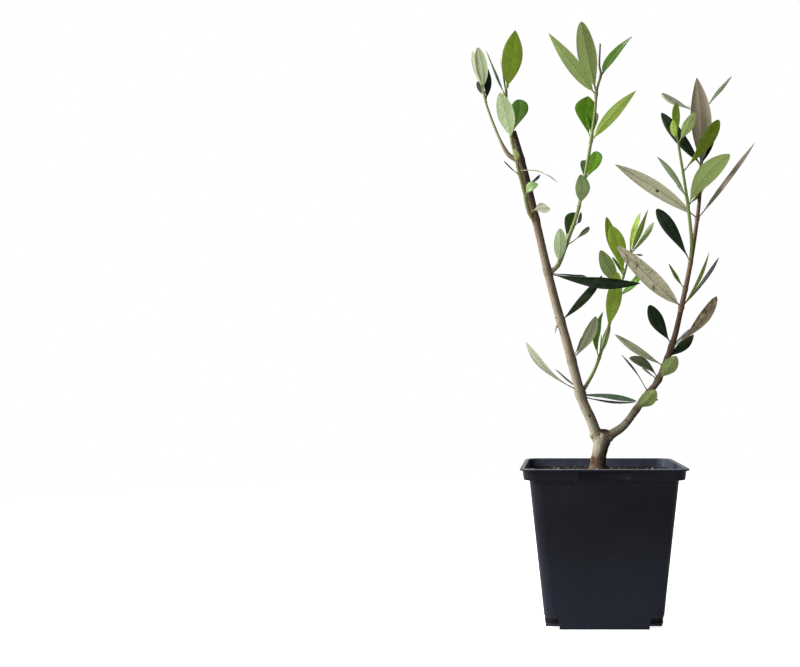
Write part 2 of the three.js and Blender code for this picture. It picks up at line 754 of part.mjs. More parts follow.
// The scene: a pot with its soil, and the plant that stands in it.
const potted = new THREE.Group();
const container = new THREE.Group();
container.add(toMesh("pot", makePot(), PLASTIC));
container.add(toMesh("soil", makeSoil(), PEAT));
const plant = new THREE.Group();
plant.add(toMesh("trunk", trunk, BARK));
plant.add(toMesh("left_bough", leftBough, BARK));
plant.add(toMesh("right_bough", rightBough, RED_BARK));
for (const { name, solid, finish } of nodes) {
  plant.add(toMesh(name, mainPiece(solid), finish));
}
potted.add(container, plant);

export default potted;
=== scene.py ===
"""A young two-stemmed olive in a square nursery pot, built in Blender.

Metres, +Z up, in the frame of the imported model. The plant's sizes are given in
millimetres and turned into metres where a mesh is made.
"""

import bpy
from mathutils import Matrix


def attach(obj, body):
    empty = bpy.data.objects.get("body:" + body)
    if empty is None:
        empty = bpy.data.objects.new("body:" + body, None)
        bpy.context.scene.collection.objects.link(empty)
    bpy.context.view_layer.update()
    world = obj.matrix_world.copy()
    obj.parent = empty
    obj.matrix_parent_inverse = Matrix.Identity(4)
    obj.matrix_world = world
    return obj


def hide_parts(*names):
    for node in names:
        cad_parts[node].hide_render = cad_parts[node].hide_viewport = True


bl_info = {
    "name": "Potted Olive Tree",
    "version": (1, 0, 0),
    "blender": (4, 5, 0),
    "location": "View3D > Sidebar > Olive",
    "description": "Builds a young two-stemmed olive in a square nursery pot",
    "category": "Object",
}

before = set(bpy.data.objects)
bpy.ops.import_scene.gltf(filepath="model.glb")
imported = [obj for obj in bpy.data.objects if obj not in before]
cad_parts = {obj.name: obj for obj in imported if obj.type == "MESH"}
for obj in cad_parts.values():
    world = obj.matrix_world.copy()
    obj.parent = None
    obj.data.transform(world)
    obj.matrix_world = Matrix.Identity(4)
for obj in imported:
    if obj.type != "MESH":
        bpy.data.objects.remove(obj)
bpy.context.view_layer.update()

import math

import bpy
import numpy as np
from mathutils import Vector, kdtree, noise

MM = 0.001
FULL_TURN = 6.28
BODY = "root"

# Pot, in millimetres: half widths run from the middle to a flat side.
POT_HEIGHT = 125
RIM_HALF = 66
RIM_THICKNESS = 1.6
BAND_TOP_HALF = 63.8
BAND_FOOT_HALF = 63.2
BAND_FOOT_Z = 115.9
BODY_TOP_HALF = 58.8
BODY_FOOT_HALF = 45.9
WALL = 1.4
FLOOR = 1.6
CORNER_SHARE = 0.19
CORNER_STEPS = 9
FOOT_HALF = 35
FOOT_RISE = 3
DRAIN_HEIGHT = 3.8
PANEL_HALF = 19.5
PANEL_DEPTH = 0.35
PANEL_SLOPE = 0.9
PANEL_FOOT_GAP = 1.4
PANEL_TOP_GAP = 0.8
LINE_FOOT_Z = 9.6
LINE_WIDE_Z = 10
LINE_TOP_Z = 10.1
LINE_OUT = 0.28
OUTER_FILLET = 0.9
INNER_FILLET = 0.5
LIP_ROUND = 0.6
FILLET_STEPS = 4
SHARP_ANGLE = 38

# Soil: how high it stands at each distance from the middle, its edge, its
# lumps and clods (how fine and how high), and the heap round the trunk.
SOIL_PROFILE = ([0, 15, 40, 54, 55.8], [118.1, 118, 117.3, 115, 113.8])
SOIL_FOOT_Z = 114
SOIL_START = 1.2
SOIL_HALF = 55.6
SOIL_EDGE = 6
SOIL_RINGS = 56
SOIL_SIDES = 176
LUMP_FINENESS, LUMP_HEIGHT = 0.11, 1.5
CLOD_FINENESS, CLOD_HEIGHT = 0.6, 0.5
HEAP_CENTRE = (-6, 2)
HEAP_REACH = 30
HEAP_HEIGHT = 1.8

# Stems: x, y, z and radius in millimetres, from the foot up.
TRUNK = [
    (-4, 0, 112.4, 9.4),
    (-3.2, 0, 118.4, 8.2),
    (-2.8, 0, 124.4, 6.6),
    (-1.5, 0, 133.4, 6.1),
    (0.3, 0, 142.4, 7),
    (1, 0, 147.4, 6.2),
]
LEFT_STEM = [
    (-2.7, 0, 144.4, 5),
    (-8.1, -1, 160.4, 4.4),
    (-16.4, -2, 179.7, 4.2),
    (-28.6, -6, 225, 3.95),
    (-41.2, -9, 270.4, 3.6),
    (-52.8, -12, 319.4, 3.4),
    (-61.4, -14, 357.4, 3.1),
    (-68, -15, 382.7, 2.9),
    (-73.8, -16, 404.9, 2.1),
]
RIGHT_STEM = [
    (1.8, 0, 144.4, 4.6),
    (10.3, 1, 150.2, 3.9),
    (20.5, 2, 157.8, 3.4),
    (38, 5, 181, 2.9),
    (49.6, 8, 195.9, 2.75),
    (62.7, 12, 227.9, 2.6),
    (70.5, 15, 257.6, 2.35),
    (78.3, 18, 291.4, 2.1),
    (85.5, 21, 331.8, 1.8),
    (89.2, 23, 360, 1.6),
    (91.1, 25, 387.6, 1.4),
    (93.9, 29, 440, 0.9),
]
OUTER_LEFT_STEM = [
    (-71.7, -15, 380.4, 2.3),
    (-78.8, -13, 385.9, 1.9),
    (-86.6, -9, 400.9, 1.15),
    (-96.9, -1, 428.1, 1.05),
    (-101.6, 4, 445.8, 0.9),
]
LEFT_TIP_STEM = [
    (-56.3, -14, 327.4, 1.6),
    (-61.3, -18, 336.6, 1.6),
    (-64.3, -20, 351, 1.6),
    (-68.1, -22.5, 365.4, 1.5),
    (-74.8, -26, 393.4, 1.3),
    (-79, -30, 419.9, 1.1),
    (-79.5, -33, 434.6, 0.9),
]
MIDDLE_STEM = [
    (-42.1, -10, 285.4, 2.1),
    (-35.3, -15, 292.4, 1.8),
    (-28.1, -21, 311, 1.6),
    (-19.5, -28, 335.4, 1.45),
    (-11.2, -38, 377.9, 1.3),
    (-6.6, -45, 409, 1.2),
    (-5, -49, 427.8, 1.1),
    (-1.8, -52, 439.7, 1),
    (-3, -54, 447.4, 0.85),
    (-2.4, -57, 463.6, 0.7),
]
CENTRE_STEM = [
    (-16.5, -2, 183.4, 1.7),
    (-4, 7, 206.4, 1.4),
    (6.4, 16, 237.7, 1.3),
    (14.4, 22, 265.4, 1.2),
    (22.5, 27, 290.9, 1.05),
    (28, 31, 309.4, 0.8),
]
GREEN_STEM = [
    (80.1, 20, 301.9, 1.7),
    (80.2, 14.5, 313.4, 1.55),
    (78.4, 10, 329.6, 1.5),
    (74.2, 3, 356.1, 1.3),
    (67.4, -6, 391.4, 1.1),
    (66.5, -8, 396.9, 0.9),
]
RIGHT_BOUGH_END = 134

# Leaves: tone, along the stem, aim, swing, turn, length, width, bow, belly.
# Aim is the leaf's angle in the front view, swing how far it points to the
# back, turn how far its upper face looks away from the viewer, bow its
# sideways curve and belly where it is widest. Degrees and millimetres.
BELLY = 0.52
OUTER_LEFT_LEAVES = [
    ("sage", 75.5, 96.5, -14, 155, 38, 12, 0.05),
    ("blue", 75, 105, 24, 140, 51.5, 9, 0, 0.6),
    ("mature", 65.5, 93, 38, 35, 57, 8.5, 0.03),
    ("mature", 70.5, 112.5, 42, -50, 31, 6.5, -0.01),
]
LEFT_TIP_LEAVES = [
    ("lime", 110.5, 80, -16, 12, 49.5, 17, 0.02),
    ("lime", 108, 99, 20, 80, 40, 11, 0),
    ("pale", 106, 115.5, -30, 72, 41, 11, -0.02),
    ("pale", 69.5, 104.5, -36, 170, 42, 14, 0.01),
    ("deep", 75, 83, 36, -15, 51, 16, 0.06, 0.62),
    ("lime", 48.5, 104, -30, 150, 15, 6, 0.05),
    ("mature", 40.5, 143, -30, 78, 19, 8, -0.03, 0.6),
    ("pale", 44.5, -25.5, -30, -72, 41, 7, -0.1),
    ("mature", 30, 37, -8, -55, 18, 7, 0.05, 0.6),
    ("young", 20.5, 45, -35, -30, 18, 9, -0.2),
    ("grey", 8, 7, -30, -160, 20, 9, -0.12, 0.62),
]
MIDDLE_LEAVES = [
    ("pale", 8.5, 86, -36, -160, 34, 11, 0.03),
    ("deep", 31, 73.5, 30, 50, 32, 12, -0.13),
    ("grey", 43, 60, 30, 60, 18, 8, 0.09, 0.6),
    ("grey", 26.5, 42, 14, -62, 27, 8, 0.05, 0.75),
    ("pale", 60.5, 87.5, -42, 15, 29.5, 12.5, 0.08),
    ("fresh", 82.5, 72, 40, -20, 45, 13, 0.06, 0.6),
    ("fresh", 83, 84, 48, 40, 34.5, 9, -0.04),
    ("bright", 114, 45, -22, -160, 54, 9.5, -0.02, 0.45),
    ("fresh", 115.5, 92.5, 22, 20, 46, 18, -0.08, 0.62),
    ("deep", 118.5, 83, 40, -55, 36, 8, 0.04),
    ("young", 151, 133, -24, 165, 61.5, 11, -0.01, 0.42),
    ("young", 152.5, 106, -34, -165, 57.5, 16.5, -0.01, 0.56),
    ("deep", 166, 56, 18, -45, 51.5, 13, -0.04, 0.4),
]
CENTRE_LEAVES = [
    ("fresh", 36, 85.5, -14, 45, 40.5, 10, -0.11),
    ("fresh", 36, 69.5, 38, -140, 40.5, 8, -0.01),
    ("bright", 62.5, 80.5, -16, 15, 51.5, 13.5, 0.01),
    ("young", 105, 123, -26, -170, 38, 13.5, -0.03),
    ("bright", 114, 105, -18, 10, 46.5, 14, 0.04, 0.6),
    ("bright", 118, 105.5, 16, 30, 57.5, 12.5, -0.03),
    ("fresh", 114, 111, 40, 60, 29, 8, 0),
    ("bright", 137, 68, -12, -130, 42, 8, 0.02, 0.42),
    ("bright", 135, 75, 26, -60, 50, 9, -0.03),
    ("pale", 135.5, 53.5, -4, -50, 36, 7.5, 0.04),
    ("fresh", 137, -6, 10, -60, 12, 4, 0.05),
    ("fresh", 93.5, 48, 30, -50, 37, 10, 0.06),
]
RIGHT_CROWN_LEAVES = [
    ("beige", 138, 140, -22, 165, 81.5, 14.5, -0.01, 0.46),
    ("bright", 137.5, 62.5, 6, -120, 56.5, 7.5, 0.05),
    ("mature", 137.5, 52, 26, -65, 70, 7.5, 0.02),
    ("fresh", 154, 125, -16, 50, 27.5, 6.5, -0.03),
    ("mature", 178.5, 123, -8, 10, 56, 12.5, 0.02, 0.65),
    ("beige", 219.5, 149.5, -12, 170, 87.5, 12.5, 0.01),
    ("taupe", 218.5, 53, 5, 118, 90.5, 9.5, 0.01),
    ("mature", 267.5, 119.5, 20, 15, 69.5, 13, -0.01),
    ("taupe", 266, 94.5, -14, 172, 78, 18, 0.02, 0.5),
    ("mature", 267.5, 73.5, 34, -40, 61.5, 12, 0.02),
    ("silver", 315, 147.5, 8, 50, 43, 14, -0.03, 0.74),
    ("grey", 317, 53.5, 14, -62, 50.5, 8, -0.02, 0.6),
]
GREEN_LEAVES = [
    ("pale", 52.5, 132.5, -28, -145, 47.5, 8, 0.03),
    ("young", 46, 50.5, -34, -160, 57.5, 17, -0.08, 0.56),
    ("lime", 75.5, 55.5, 6, 15, 58.5, 12, 0.03, 0.65),
    ("bright", 101, 87.5, 26, 20, 47, 8, -0.04, 0.6),
    ("bright", 101, 107, -24, 140, 20, 6, -0.1),
    ("young", 101.5, 61, -38, -165, 30, 9.5, 0.01),
]
LEFT_BOUGH_LEAVES = [
    ("mature", 146.5, -6.5, -3, -30, 78, 11.5, 0.04, 0.58),
    ("mature", 104.5, 49, 8, -35, 54, 10, 0.02),
    ("blue", 70.5, 61, -20, -160, 44, 10.5, 0.05, 0.62),
    ("grey", 44.5, 138, -16, 125, 62.5, 9, -0.09, 0.68),
    ("blue", 41, -7, -14, -35, 48, 5.5, -0.03, 0.55),
    ("mature", 39.5, -6, 16, -68, 49.5, 5, 0.04),
]
RIGHT_BOUGH_LEAVES = [
    ("lime", 38.5, 47.5, -42, -170, 29.5, 12.5, 0.02),
    ("grey", 48, 4, 12, -60, 14, 3.5, 0),
    ("grey", 56, 123.5, 14, 80, 41.5, 7, 0.04),
    ("grey", 70.5, 144, -22, 35, 34, 9.5, 0.13, 0.6),
    ("blue", 83.5, 145.5, 12, 125, 51.5, 10.5, -0.01),
    ("lime", 71.5, 56.5, -45, -170, 31.5, 13, 0.03),
    ("mature", 91, 41.5, 16, -35, 34, 10, 0.02, 0.5),
    ("taupe", 100.5, 50, -26, -150, 61, 11.5, 0.06, 0.68),
    ("mature", 103.5, 120.5, -8, 10, 40, 12.8, -0.02, 0.6),
]

# The far side: a leaf may have a partner at its back, on the same node, which
# lies behind it for a viewer at EYE.
SEED = 4.17
EYE = Vector((-34, -740, 178))
PARTNER_CHANCE = 0.92
PARTNER_LEAST_LENGTH = 28
PARTNER_LEAST_FACE = 4
PARTNER_MOST_SWING = 22
PARTNER_AIM = (-2, 2)
PARTNER_SWING = (46, 66)
PARTNER_TURN = (76, 88)
PARTNER_SHARE = (0.7, 0.95)
PARTNER_LONGEST = 54
PARTNER_WIDTH_SHARE = 0.85
PARTNER_NUMBER = 50
PARTNER_TONES = {"beige": "mature", "taupe": "mature", "bright": "lime"}

# What is the same for every leaf, and what is drawn for each one: the least,
# the most and the draw's own number.
DOME = 0.04
OLD_CURL = 0.3
YOUNG_CURL = 0.1
PETIOLE_LENGTH = 5
OUTLINE_FULLNESS = 0.82
LEAF_DRAWS = {
    "keel": (0.08, 0.22, 1),
    "twist": (-0.35, 0.35, 8),
    "wave_size": (0.02, 0.09, 9),
    "wave_count": (7, 13, 10),
    "wave_start": (0, FULL_TURN, 11),
    "tint": (0.2, 1, 12),
}

# How full a leaf is towards its tip, the one leaf that ends in a cut, and the
# numbers of the pointed leaves.
BLUNT_TIP = 0.6
POINTED_TIP = 0.85
CUT_TIPS = {110: 0.34}
POINTED_LEAVES = (
    105, 106, 108, 111, 300, 301, 407, 408, 410, 500, 507, 600, 700, 703, 806,
)

# Every spray, by the name of its CAD node: its stem, its leaves, the number of
# its first leaf, and its material slot.
SPRAYS = {
    "right_crown": (RIGHT_STEM, RIGHT_CROWN_LEAVES, 100, "old_leaves"),
    "outer_left_shoot": (OUTER_LEFT_STEM, OUTER_LEFT_LEAVES, 200, "young_leaves"),
    "left_tip_shoot": (LEFT_TIP_STEM, LEFT_TIP_LEAVES, 300, "young_leaves"),
    "middle_shoot": (MIDDLE_STEM, MIDDLE_LEAVES, 400, "young_leaves"),
    "centre_shoot": (CENTRE_STEM, CENTRE_LEAVES, 500, "young_leaves"),
    "green_shoot": (GREEN_STEM, GREEN_LEAVES, 600, "young_leaves"),
    "left_bough": (LEFT_STEM, LEFT_BOUGH_LEAVES, 700, "young_leaves"),
    "right_bough": (RIGHT_STEM, RIGHT_BOUGH_LEAVES, 800, "old_leaves"),
}
SHOOTS = [name for name in SPRAYS if not name.endswith("bough")]

# Leaf tones: upper face and underside, as display colours from 0 to 255.
LEAF_TONES = {
    "fresh": ((92, 136, 30), (172, 192, 138)),
    "deep": ((62, 92, 28), (150, 172, 126)),
    "bright": ((132, 158, 46), (132, 154, 68)),
    "lime": ((110, 132, 30), (118, 132, 78)),
    "young": ((100, 130, 62), (134, 152, 88)),
    "pale": ((118, 138, 86), (172, 190, 142)),
    "mature": ((26, 39, 21), (150, 152, 130)),
    "grey": ((88, 98, 72), (147, 148, 125)),
    "silver": ((182, 184, 158), (182, 184, 160)),
    "blue": ((62, 80, 60), (124, 130, 100)),
    "sage": ((70, 90, 60), (113, 122, 92)),
    "beige": ((38, 52, 34), (176, 173, 144)),
    # Taupe is the beige underside darkened as painted shade, with its own spots.
    "taupe": ((58, 60, 44), (114, 106, 88)),
}
OLD_TONES = ("mature", "grey", "silver", "blue", "sage", "beige", "taupe")
SPOTTED_TONES = ("beige", "taupe")

# How spotted the blemished leaves are, by their numbers, and how far along
# the one dark blot of a leaf lies, in millimetres.
BLEMISHES = {100: 0.34, 105: 0.2, 108: 0.16, 807: 0.42}
BLOTS = {105: 44, 108: 24}
NO_BLOT = -100


def linear(display):
    """A display colour from 0 to 255, as the scene-linear colour."""
    shares = [value / 255 for value in display]
    return tuple(s / 12.92 if s <= 0.04045 else ((s + 0.055) / 1.055) ** 2.4 for s in shares)


def draw(number, salt):
    """A fixed draw between 0 and 1 for a leaf's number and what it decides."""
    wave = math.sin(SEED + number * 12.9898 + salt * 78.233) * 43758.5453
    return wave - math.floor(wave)


def draw_from(bounds, number, salt):
    """A fixed draw between two bounds."""
    return bounds[0] + (bounds[1] - bounds[0]) * draw(number, salt)


# Stems.

STRAND_STEPS = 16


def distances_along(points):
    """How far along a line each of its points lies."""
    steps = np.linalg.norm(np.diff(points, axis=0), axis=1)
    return np.concatenate([[0], np.cumsum(steps)])


def points_at(points, distances, along):
    """The point at a distance along a line, or the points at several."""
    return np.array([np.interp(along, distances, points[:, k]) for k in range(3)]).T


def bell(distance, reach):
    """1 at no distance, falling off smoothly."""
    return np.exp(-((distance / reach) ** 2))


def strand(stations):
    """Points, radii and distances along a smooth line through the stations."""
    knots = np.array(stations, float)
    head = 2 * knots[0] - knots[1]
    tail = 2 * knots[-1] - knots[-2]
    padded = np.vstack([head, knots, tail])
    points, radii = [], []
    for i in range(len(knots) - 1):
        p0, p1, p2, p3 = padded[i : i + 4, :3]
        last = i == len(knots) - 2
        for t in np.linspace(0, 1, STRAND_STEPS + 1)[: None if last else -1]:
            m1, m2 = (p2 - p0) / 2, (p3 - p1) / 2
            points.append(
                (2 * t**3 - 3 * t**2 + 1) * p1
                + (t**3 - 2 * t**2 + t) * m1
                + (3 * t**2 - 2 * t**3) * p2
                + (t**3 - t**2) * m2
            )
            radii.append(knots[i, 3] * (1 - t) + knots[i + 1, 3] * t)
    points = np.array(points)
    return points, np.array(radii), distances_along(points)


def strand_at(line, along):
    """The point and the radius at a distance along a strand."""
    points, radii, distances = line
    return points_at(points, distances, along), float(np.interp(along, distances, radii))


def resampled(line, step, start=0.0, end=None):
    """A strand cut to a stretch of its length, with even steps."""
    stop = line[2][-1] if end is None else min(end, line[2][-1])
    alongs = np.linspace(start, stop, max(int((stop - start) / step), 3) + 1)
    taken = [strand_at(line, along) for along in alongs]
    return np.array([t[0] for t in taken]), np.array([t[1] for t in taken]), alongs


# Meshes.


def shade_smooth(mesh):
    """Smooth shading on every face."""
    mesh.polygons.foreach_set("use_smooth", [True] * len(mesh.polygons))


def mesh_from(name, vertices, faces):
    """A smooth mesh from plain lists of vertices and faces."""
    mesh = bpy.data.meshes.new(name)
    mesh.from_pydata([tuple(v) for v in vertices], [], faces)
    shade_smooth(mesh)
    mesh.update()
    return mesh


def layer_on(mesh, name, values, kind="FLOAT", domain="POINT"):
    """Gives a mesh one named attribute."""
    data = mesh.attributes.new(name, kind, domain).data
    data.foreach_set("vector" if kind == "FLOAT_VECTOR" else "value", values)


def finish_with(mesh, material):
    """Leaves a mesh with one material alone."""
    mesh.materials.clear()
    mesh.materials.append(material)


def loft(rings):
    """Vertices and faces of a closed solid through rings of equal length."""
    count = len(rings[0])
    faces = []
    for r in range(len(rings) - 1):
        for k in range(count):
            a = r * count + k
            b = r * count + (k + 1) % count
            faces.append((a, b, b + count, a + count))
    faces.append(tuple(range(count - 1, -1, -1)))
    top = (len(rings) - 1) * count
    faces.append(tuple(range(top, top + count)))
    return np.vstack(rings), faces


def joined(solids):
    """One list of vertices and one of faces for several solids."""
    vertices, faces, first = [], [], 0
    for points, sides in solids:
        vertices.append(points)
        faces += [tuple(first + i for i in side) for side in sides]
        first += len(points)
    return np.vstack(vertices), faces


def tube(line, sides):
    """A closed tapering tube along a strand."""
    points, radii, _ = line
    across = np.array([1.0, 0.0, 0.0])
    rings = []
    for i in range(len(points)):
        ahead = points[min(i + 1, len(points) - 1)] - points[max(i - 1, 0)]
        ahead /= np.linalg.norm(ahead)
        across = across - ahead * across.dot(ahead)
        across /= np.linalg.norm(across)
        other = np.cross(ahead, across)
        angles = np.linspace(0, 2 * math.pi, sides, endpoint=False)[:, None]
        rings.append(points[i] + radii[i] * (np.cos(angles) * across + np.sin(angles) * other))
    return loft(rings)


def as_object(name, data):
    """A new object in the scene that carries a mesh, a light or a camera."""
    piece = bpy.data.objects.new(name, data)
    bpy.context.scene.collection.objects.link(piece)
    return piece


def evaluated(piece, name):
    """The piece's mesh with its modifiers applied. The piece is removed."""
    graph = bpy.context.evaluated_depsgraph_get()
    mesh = bpy.data.meshes.new_from_object(piece.evaluated_get(graph))
    mesh.name = name
    bpy.data.objects.remove(piece)
    return mesh


def place(name, mesh, slot, *nodes):
    """Puts a finished mesh in the scene as a piece that stands for CAD nodes."""
    piece = as_object(name, mesh)
    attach(piece, BODY)
    if nodes:
        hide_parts(*nodes)


def sharpen(mesh, degrees):
    """Smooth shading that breaks at edges sharper than the given angle."""
    normals = [tuple(p.normal) for p in mesh.polygons]
    sides = {}
    for polygon in mesh.polygons:
        for key in polygon.edge_keys:
            sides.setdefault(key, []).append(polygon.index)
    limit = math.cos(math.radians(degrees))
    for edge in mesh.edges:
        pair = sides.get(edge.key, [])
        bent = len(pair) != 2 or Vector(normals[pair[0]]).dot(Vector(normals[pair[1]])) < limit
        edge.use_edge_sharp = bent
    shade_smooth(mesh)


def trim_materials(mesh):
    """Drops the material slots that no face uses."""
    used = sorted({p.material_index for p in mesh.polygons})
    kept = [mesh.materials[i] for i in used]
    places = [used.index(p.material_index) for p in mesh.polygons]
    mesh.materials.clear()
    for material in kept:
        mesh.materials.append(material)
    mesh.polygons.foreach_set("material_index", places)
    mesh.update()


# Nodes.


class NodeMaker:
    """Short calls that add nodes to one tree, for geometry and for materials."""

    def feed(self, socket, value):
        """Links another node's socket to this one, or sets a plain value."""
        if isinstance(value, bpy.types.NodeSocket):
            self.tree.links.new(value, socket)
        elif socket.type == "RGBA" and len(value) == 3:
            socket.default_value = (*value, 1)
        else:
            socket.default_value = value

    def add(self, kind, settings=None, **feeds):
        """A new node with its settings, and its inputs fed by their names."""
        node = self.tree.nodes.new(kind)
        for key, value in (settings or {}).items():
            setattr(node, key, value)
        for label, value in feeds.items():
            wanted = label.replace("_", " ")
            self.feed(next(s for s in node.inputs if s.name == wanted and s.enabled), value)
        return node

    def add_in_order(self, kind, settings, values):
        """A new node whose inputs take the values in their order."""
        node = self.add(kind, settings)
        for socket, value in zip(node.inputs, values):
            self.feed(socket, value)
        return node

    def math(self, operation, *values):
        return self.add_in_order("ShaderNodeMath", {"operation": operation}, values).outputs[0]

    def plus(self, first, second):
        return self.math("ADD", first, second)

    def minus(self, first, second):
        return self.math("SUBTRACT", first, second)

    def over(self, first, second):
        return self.math("DIVIDE", first, second)

    def times(self, first, *others):
        for other in others:
            first = self.math("MULTIPLY", first, other)
        return first

    def least_of(self, first, second):
        return self.math("MINIMUM", first, second)

    def most_of(self, first, second):
        return self.math("MAXIMUM", first, second)

    def times_plus(self, first, second, third):
        return self.math("MULTIPLY_ADD", first, second, third)


class TreeMaker(NodeMaker):
    """One geometry tree with named inputs."""

    def __init__(self, name, inputs):
        self.tree = bpy.data.node_groups.new(name, "GeometryNodeTree")
        self.tree.is_modifier = True
        sockets = self.tree.interface
        sockets.new_socket("Geometry", in_out="INPUT", socket_type="NodeSocketGeometry")
        self.identifiers = {}
        for label, kind, default in inputs:
            socket = sockets.new_socket(label, in_out="INPUT", socket_type="NodeSocket" + kind)
            socket.default_value = default
            self.identifiers[label] = socket.identifier
        sockets.new_socket("Geometry", in_out="OUTPUT", socket_type="NodeSocketGeometry")
        self.start = self.tree.nodes.new("NodeGroupInput")
        self.end = self.tree.nodes.new("NodeGroupOutput")

    def value(self, label):
        return self.start.outputs[label]

    def vector(self, operation, *values):
        settings = {"operation": operation}
        return self.add_in_order("ShaderNodeVectorMath", settings, values).outputs["Vector"]

    def scaled(self, vector, factor):
        node = self.add("ShaderNodeVectorMath", {"operation": "SCALE"}, Scale=factor)
        self.feed(node.inputs[0], vector)
        return node.outputs["Vector"]

    def total(self, vectors):
        result = vectors[0]
        for vector in vectors[1:]:
            result = self.vector("ADD", result, vector)
        return result

    def attribute(self, name, kind="FLOAT"):
        node = self.add("GeometryNodeInputNamedAttribute", {"data_type": kind}, Name=name)
        return next(s for s in node.outputs if s.name == "Attribute" and s.enabled)

    def step(self, kind, geometry, settings=None, **feeds):
        """A node that changes a geometry, and what comes out of it."""
        node = self.add(kind, settings, **feeds)
        self.feed(node.inputs["Geometry"], geometry)
        return node.outputs["Geometry"]

    def store(self, geometry, name, value, domain="POINT"):
        settings = {"data_type": "FLOAT", "domain": domain}
        feeds = {"Name": name, "Value": value}
        return self.step("GeometryNodeStoreNamedAttribute", geometry, settings, **feeds)

    def paint(self, geometry, material, selection=None):
        feeds = {} if selection is None else {"Selection": selection}
        return self.step("GeometryNodeSetMaterial", geometry, Material=material, **feeds)

    def finish(self, geometry):
        self.feed(self.end.inputs["Geometry"], geometry)

    def grow(self, name, source, **values):
        """Runs the tree on a mesh and gives the result as a plain mesh."""
        carrier = as_object(name + "_source", source)
        modifier = carrier.modifiers.new("Grow", "NODES")
        modifier.node_group = self.tree
        for label, value in values.items():
            modifier[self.identifiers[label.replace("_", " ")]] = value
        return evaluated(carrier, name)


class Painter(NodeMaker):
    """One procedural material, painted in layers. Patterns are in millimetres."""

    def __init__(self, name, colour, roughness, **sockets):
        self.material = bpy.data.materials.new(name)
        self.material.use_nodes = True
        self.tree = self.material.node_tree
        self.shader = self.tree.nodes["Principled BSDF"]
        self.shade = colour
        sockets.update(Base_Color=colour, Roughness=roughness)
        for label, value in sockets.items():
            self.feed(self.shader.inputs[label.replace("_", " ")], value)

    def place(self, scale=(1, 1, 1)):
        """Object coordinates in millimetres, stretched by the given scale."""
        source = self.add("ShaderNodeTexCoord").outputs["Object"]
        size = tuple(1000 * s for s in scale)
        return self.add("ShaderNodeMapping", Vector=source, Scale=size).outputs["Vector"]

    def height(self):
        return self.add("ShaderNodeSeparateXYZ", Vector=self.place()).outputs["Z"]

    def noise(self, scale, detail, stretch=(1, 1, 1), roughness=0.55):
        feeds = {"Scale": scale, "Detail": detail, "Roughness": roughness}
        return self.add("ShaderNodeTexNoise", Vector=self.place(stretch), **feeds).outputs["Fac"]

    def spots(self, scale, size):
        """1 inside scattered round spots and 0 between them."""
        node = self.add("ShaderNodeTexVoronoi", Vector=self.place(), Scale=scale)
        return self.span(node.outputs["Distance"], size, size * 0.6)

    def span(self, value, low, high, to_low=0.0, to_high=1.0):
        """Turns the stretch from low to high into one from to_low to to_high."""
        numbers = (value, low, high, to_low, to_high)
        return self.add_in_order("ShaderNodeMapRange", {"clamp": True}, numbers).outputs["Result"]

    def mix(self, factor, first, second):
        node = self.add("ShaderNodeMix", {"data_type": "RGBA"})
        self.feed(node.inputs["Factor"], factor)
        self.feed(node.inputs[6], first)
        self.feed(node.inputs[7], second)
        return node.outputs[2]

    def attribute(self, name):
        return self.add("ShaderNodeAttribute", {"attribute_name": name}).outputs["Fac"]

    def layer(self, mask, colour, strength=1.0):
        """Lays a colour over what is painted so far, where the mask says."""
        factor = mask if strength == 1 else self.times(mask, strength)
        self.shade = self.mix(factor, self.shade, colour)

    def roughness(self, value):
        self.feed(self.shader.inputs["Roughness"], value)

    def bump(self, height, distance_mm, strength=1.0):
        feeds = {"Height": height, "Distance": distance_mm * MM, "Strength": strength}
        node = self.add("ShaderNodeBump", **feeds)
        self.feed(self.shader.inputs["Normal"], node.outputs["Normal"])

    def finished(self):
        """The material, with its layers on the shader."""
        self.feed(self.shader.inputs["Base Color"], self.shade)
        return self.material


# Materials.

# Where the mask of a mark is 0 and where it is 1, with heights in millimetres.
# Painted light bounced from the floor makes the pot paler towards its foot.
FLOOR_BOUNCE_HEIGHTS = (85, 4)
# A painted highlight, with wear, along the rim's top.
RIM_HIGHLIGHT_HEIGHTS = (POT_HEIGHT - 0.5, POT_HEIGHT - 0.15)
# Painted shade darkens the soil low down in the pot.
SOIL_SHADE_HEIGHTS = (100, 40)
MUD_HEIGHTS = (145, 138)
MUD_WAVER = 16
CUT_HEIGHTS = (150.4, 153)
VEIN_SLANT, VEIN_WOBBLE, VEIN_FINENESS = 1.5, 5, 1.7
STALK_END = (0.8, 0.25)
FLECKED = (0.76, 0.92)
TANNED = (0.85, 1.05)

# The marks' colours, scene-linear.
WATER_SPOT = (0.12, 0.11, 0.1)
# Scuffs with a painted sheen on the pot's inner walls.
INNER_SCUFF_AND_SHEEN = (0.046, 0.052, 0.074)
# Rim wear with a painted highlight.
RIM_WEAR_AND_HIGHLIGHT = (0.13, 0.135, 0.165)
ROOT_FIBRE = (0.2, 0.13, 0.075)
# Painted shade on the soil low in the pot.
SOIL_PAINTED_SHADE = (0.006, 0.004, 0.003)
MUDDY_FOOT = (0.085, 0.042, 0.023)
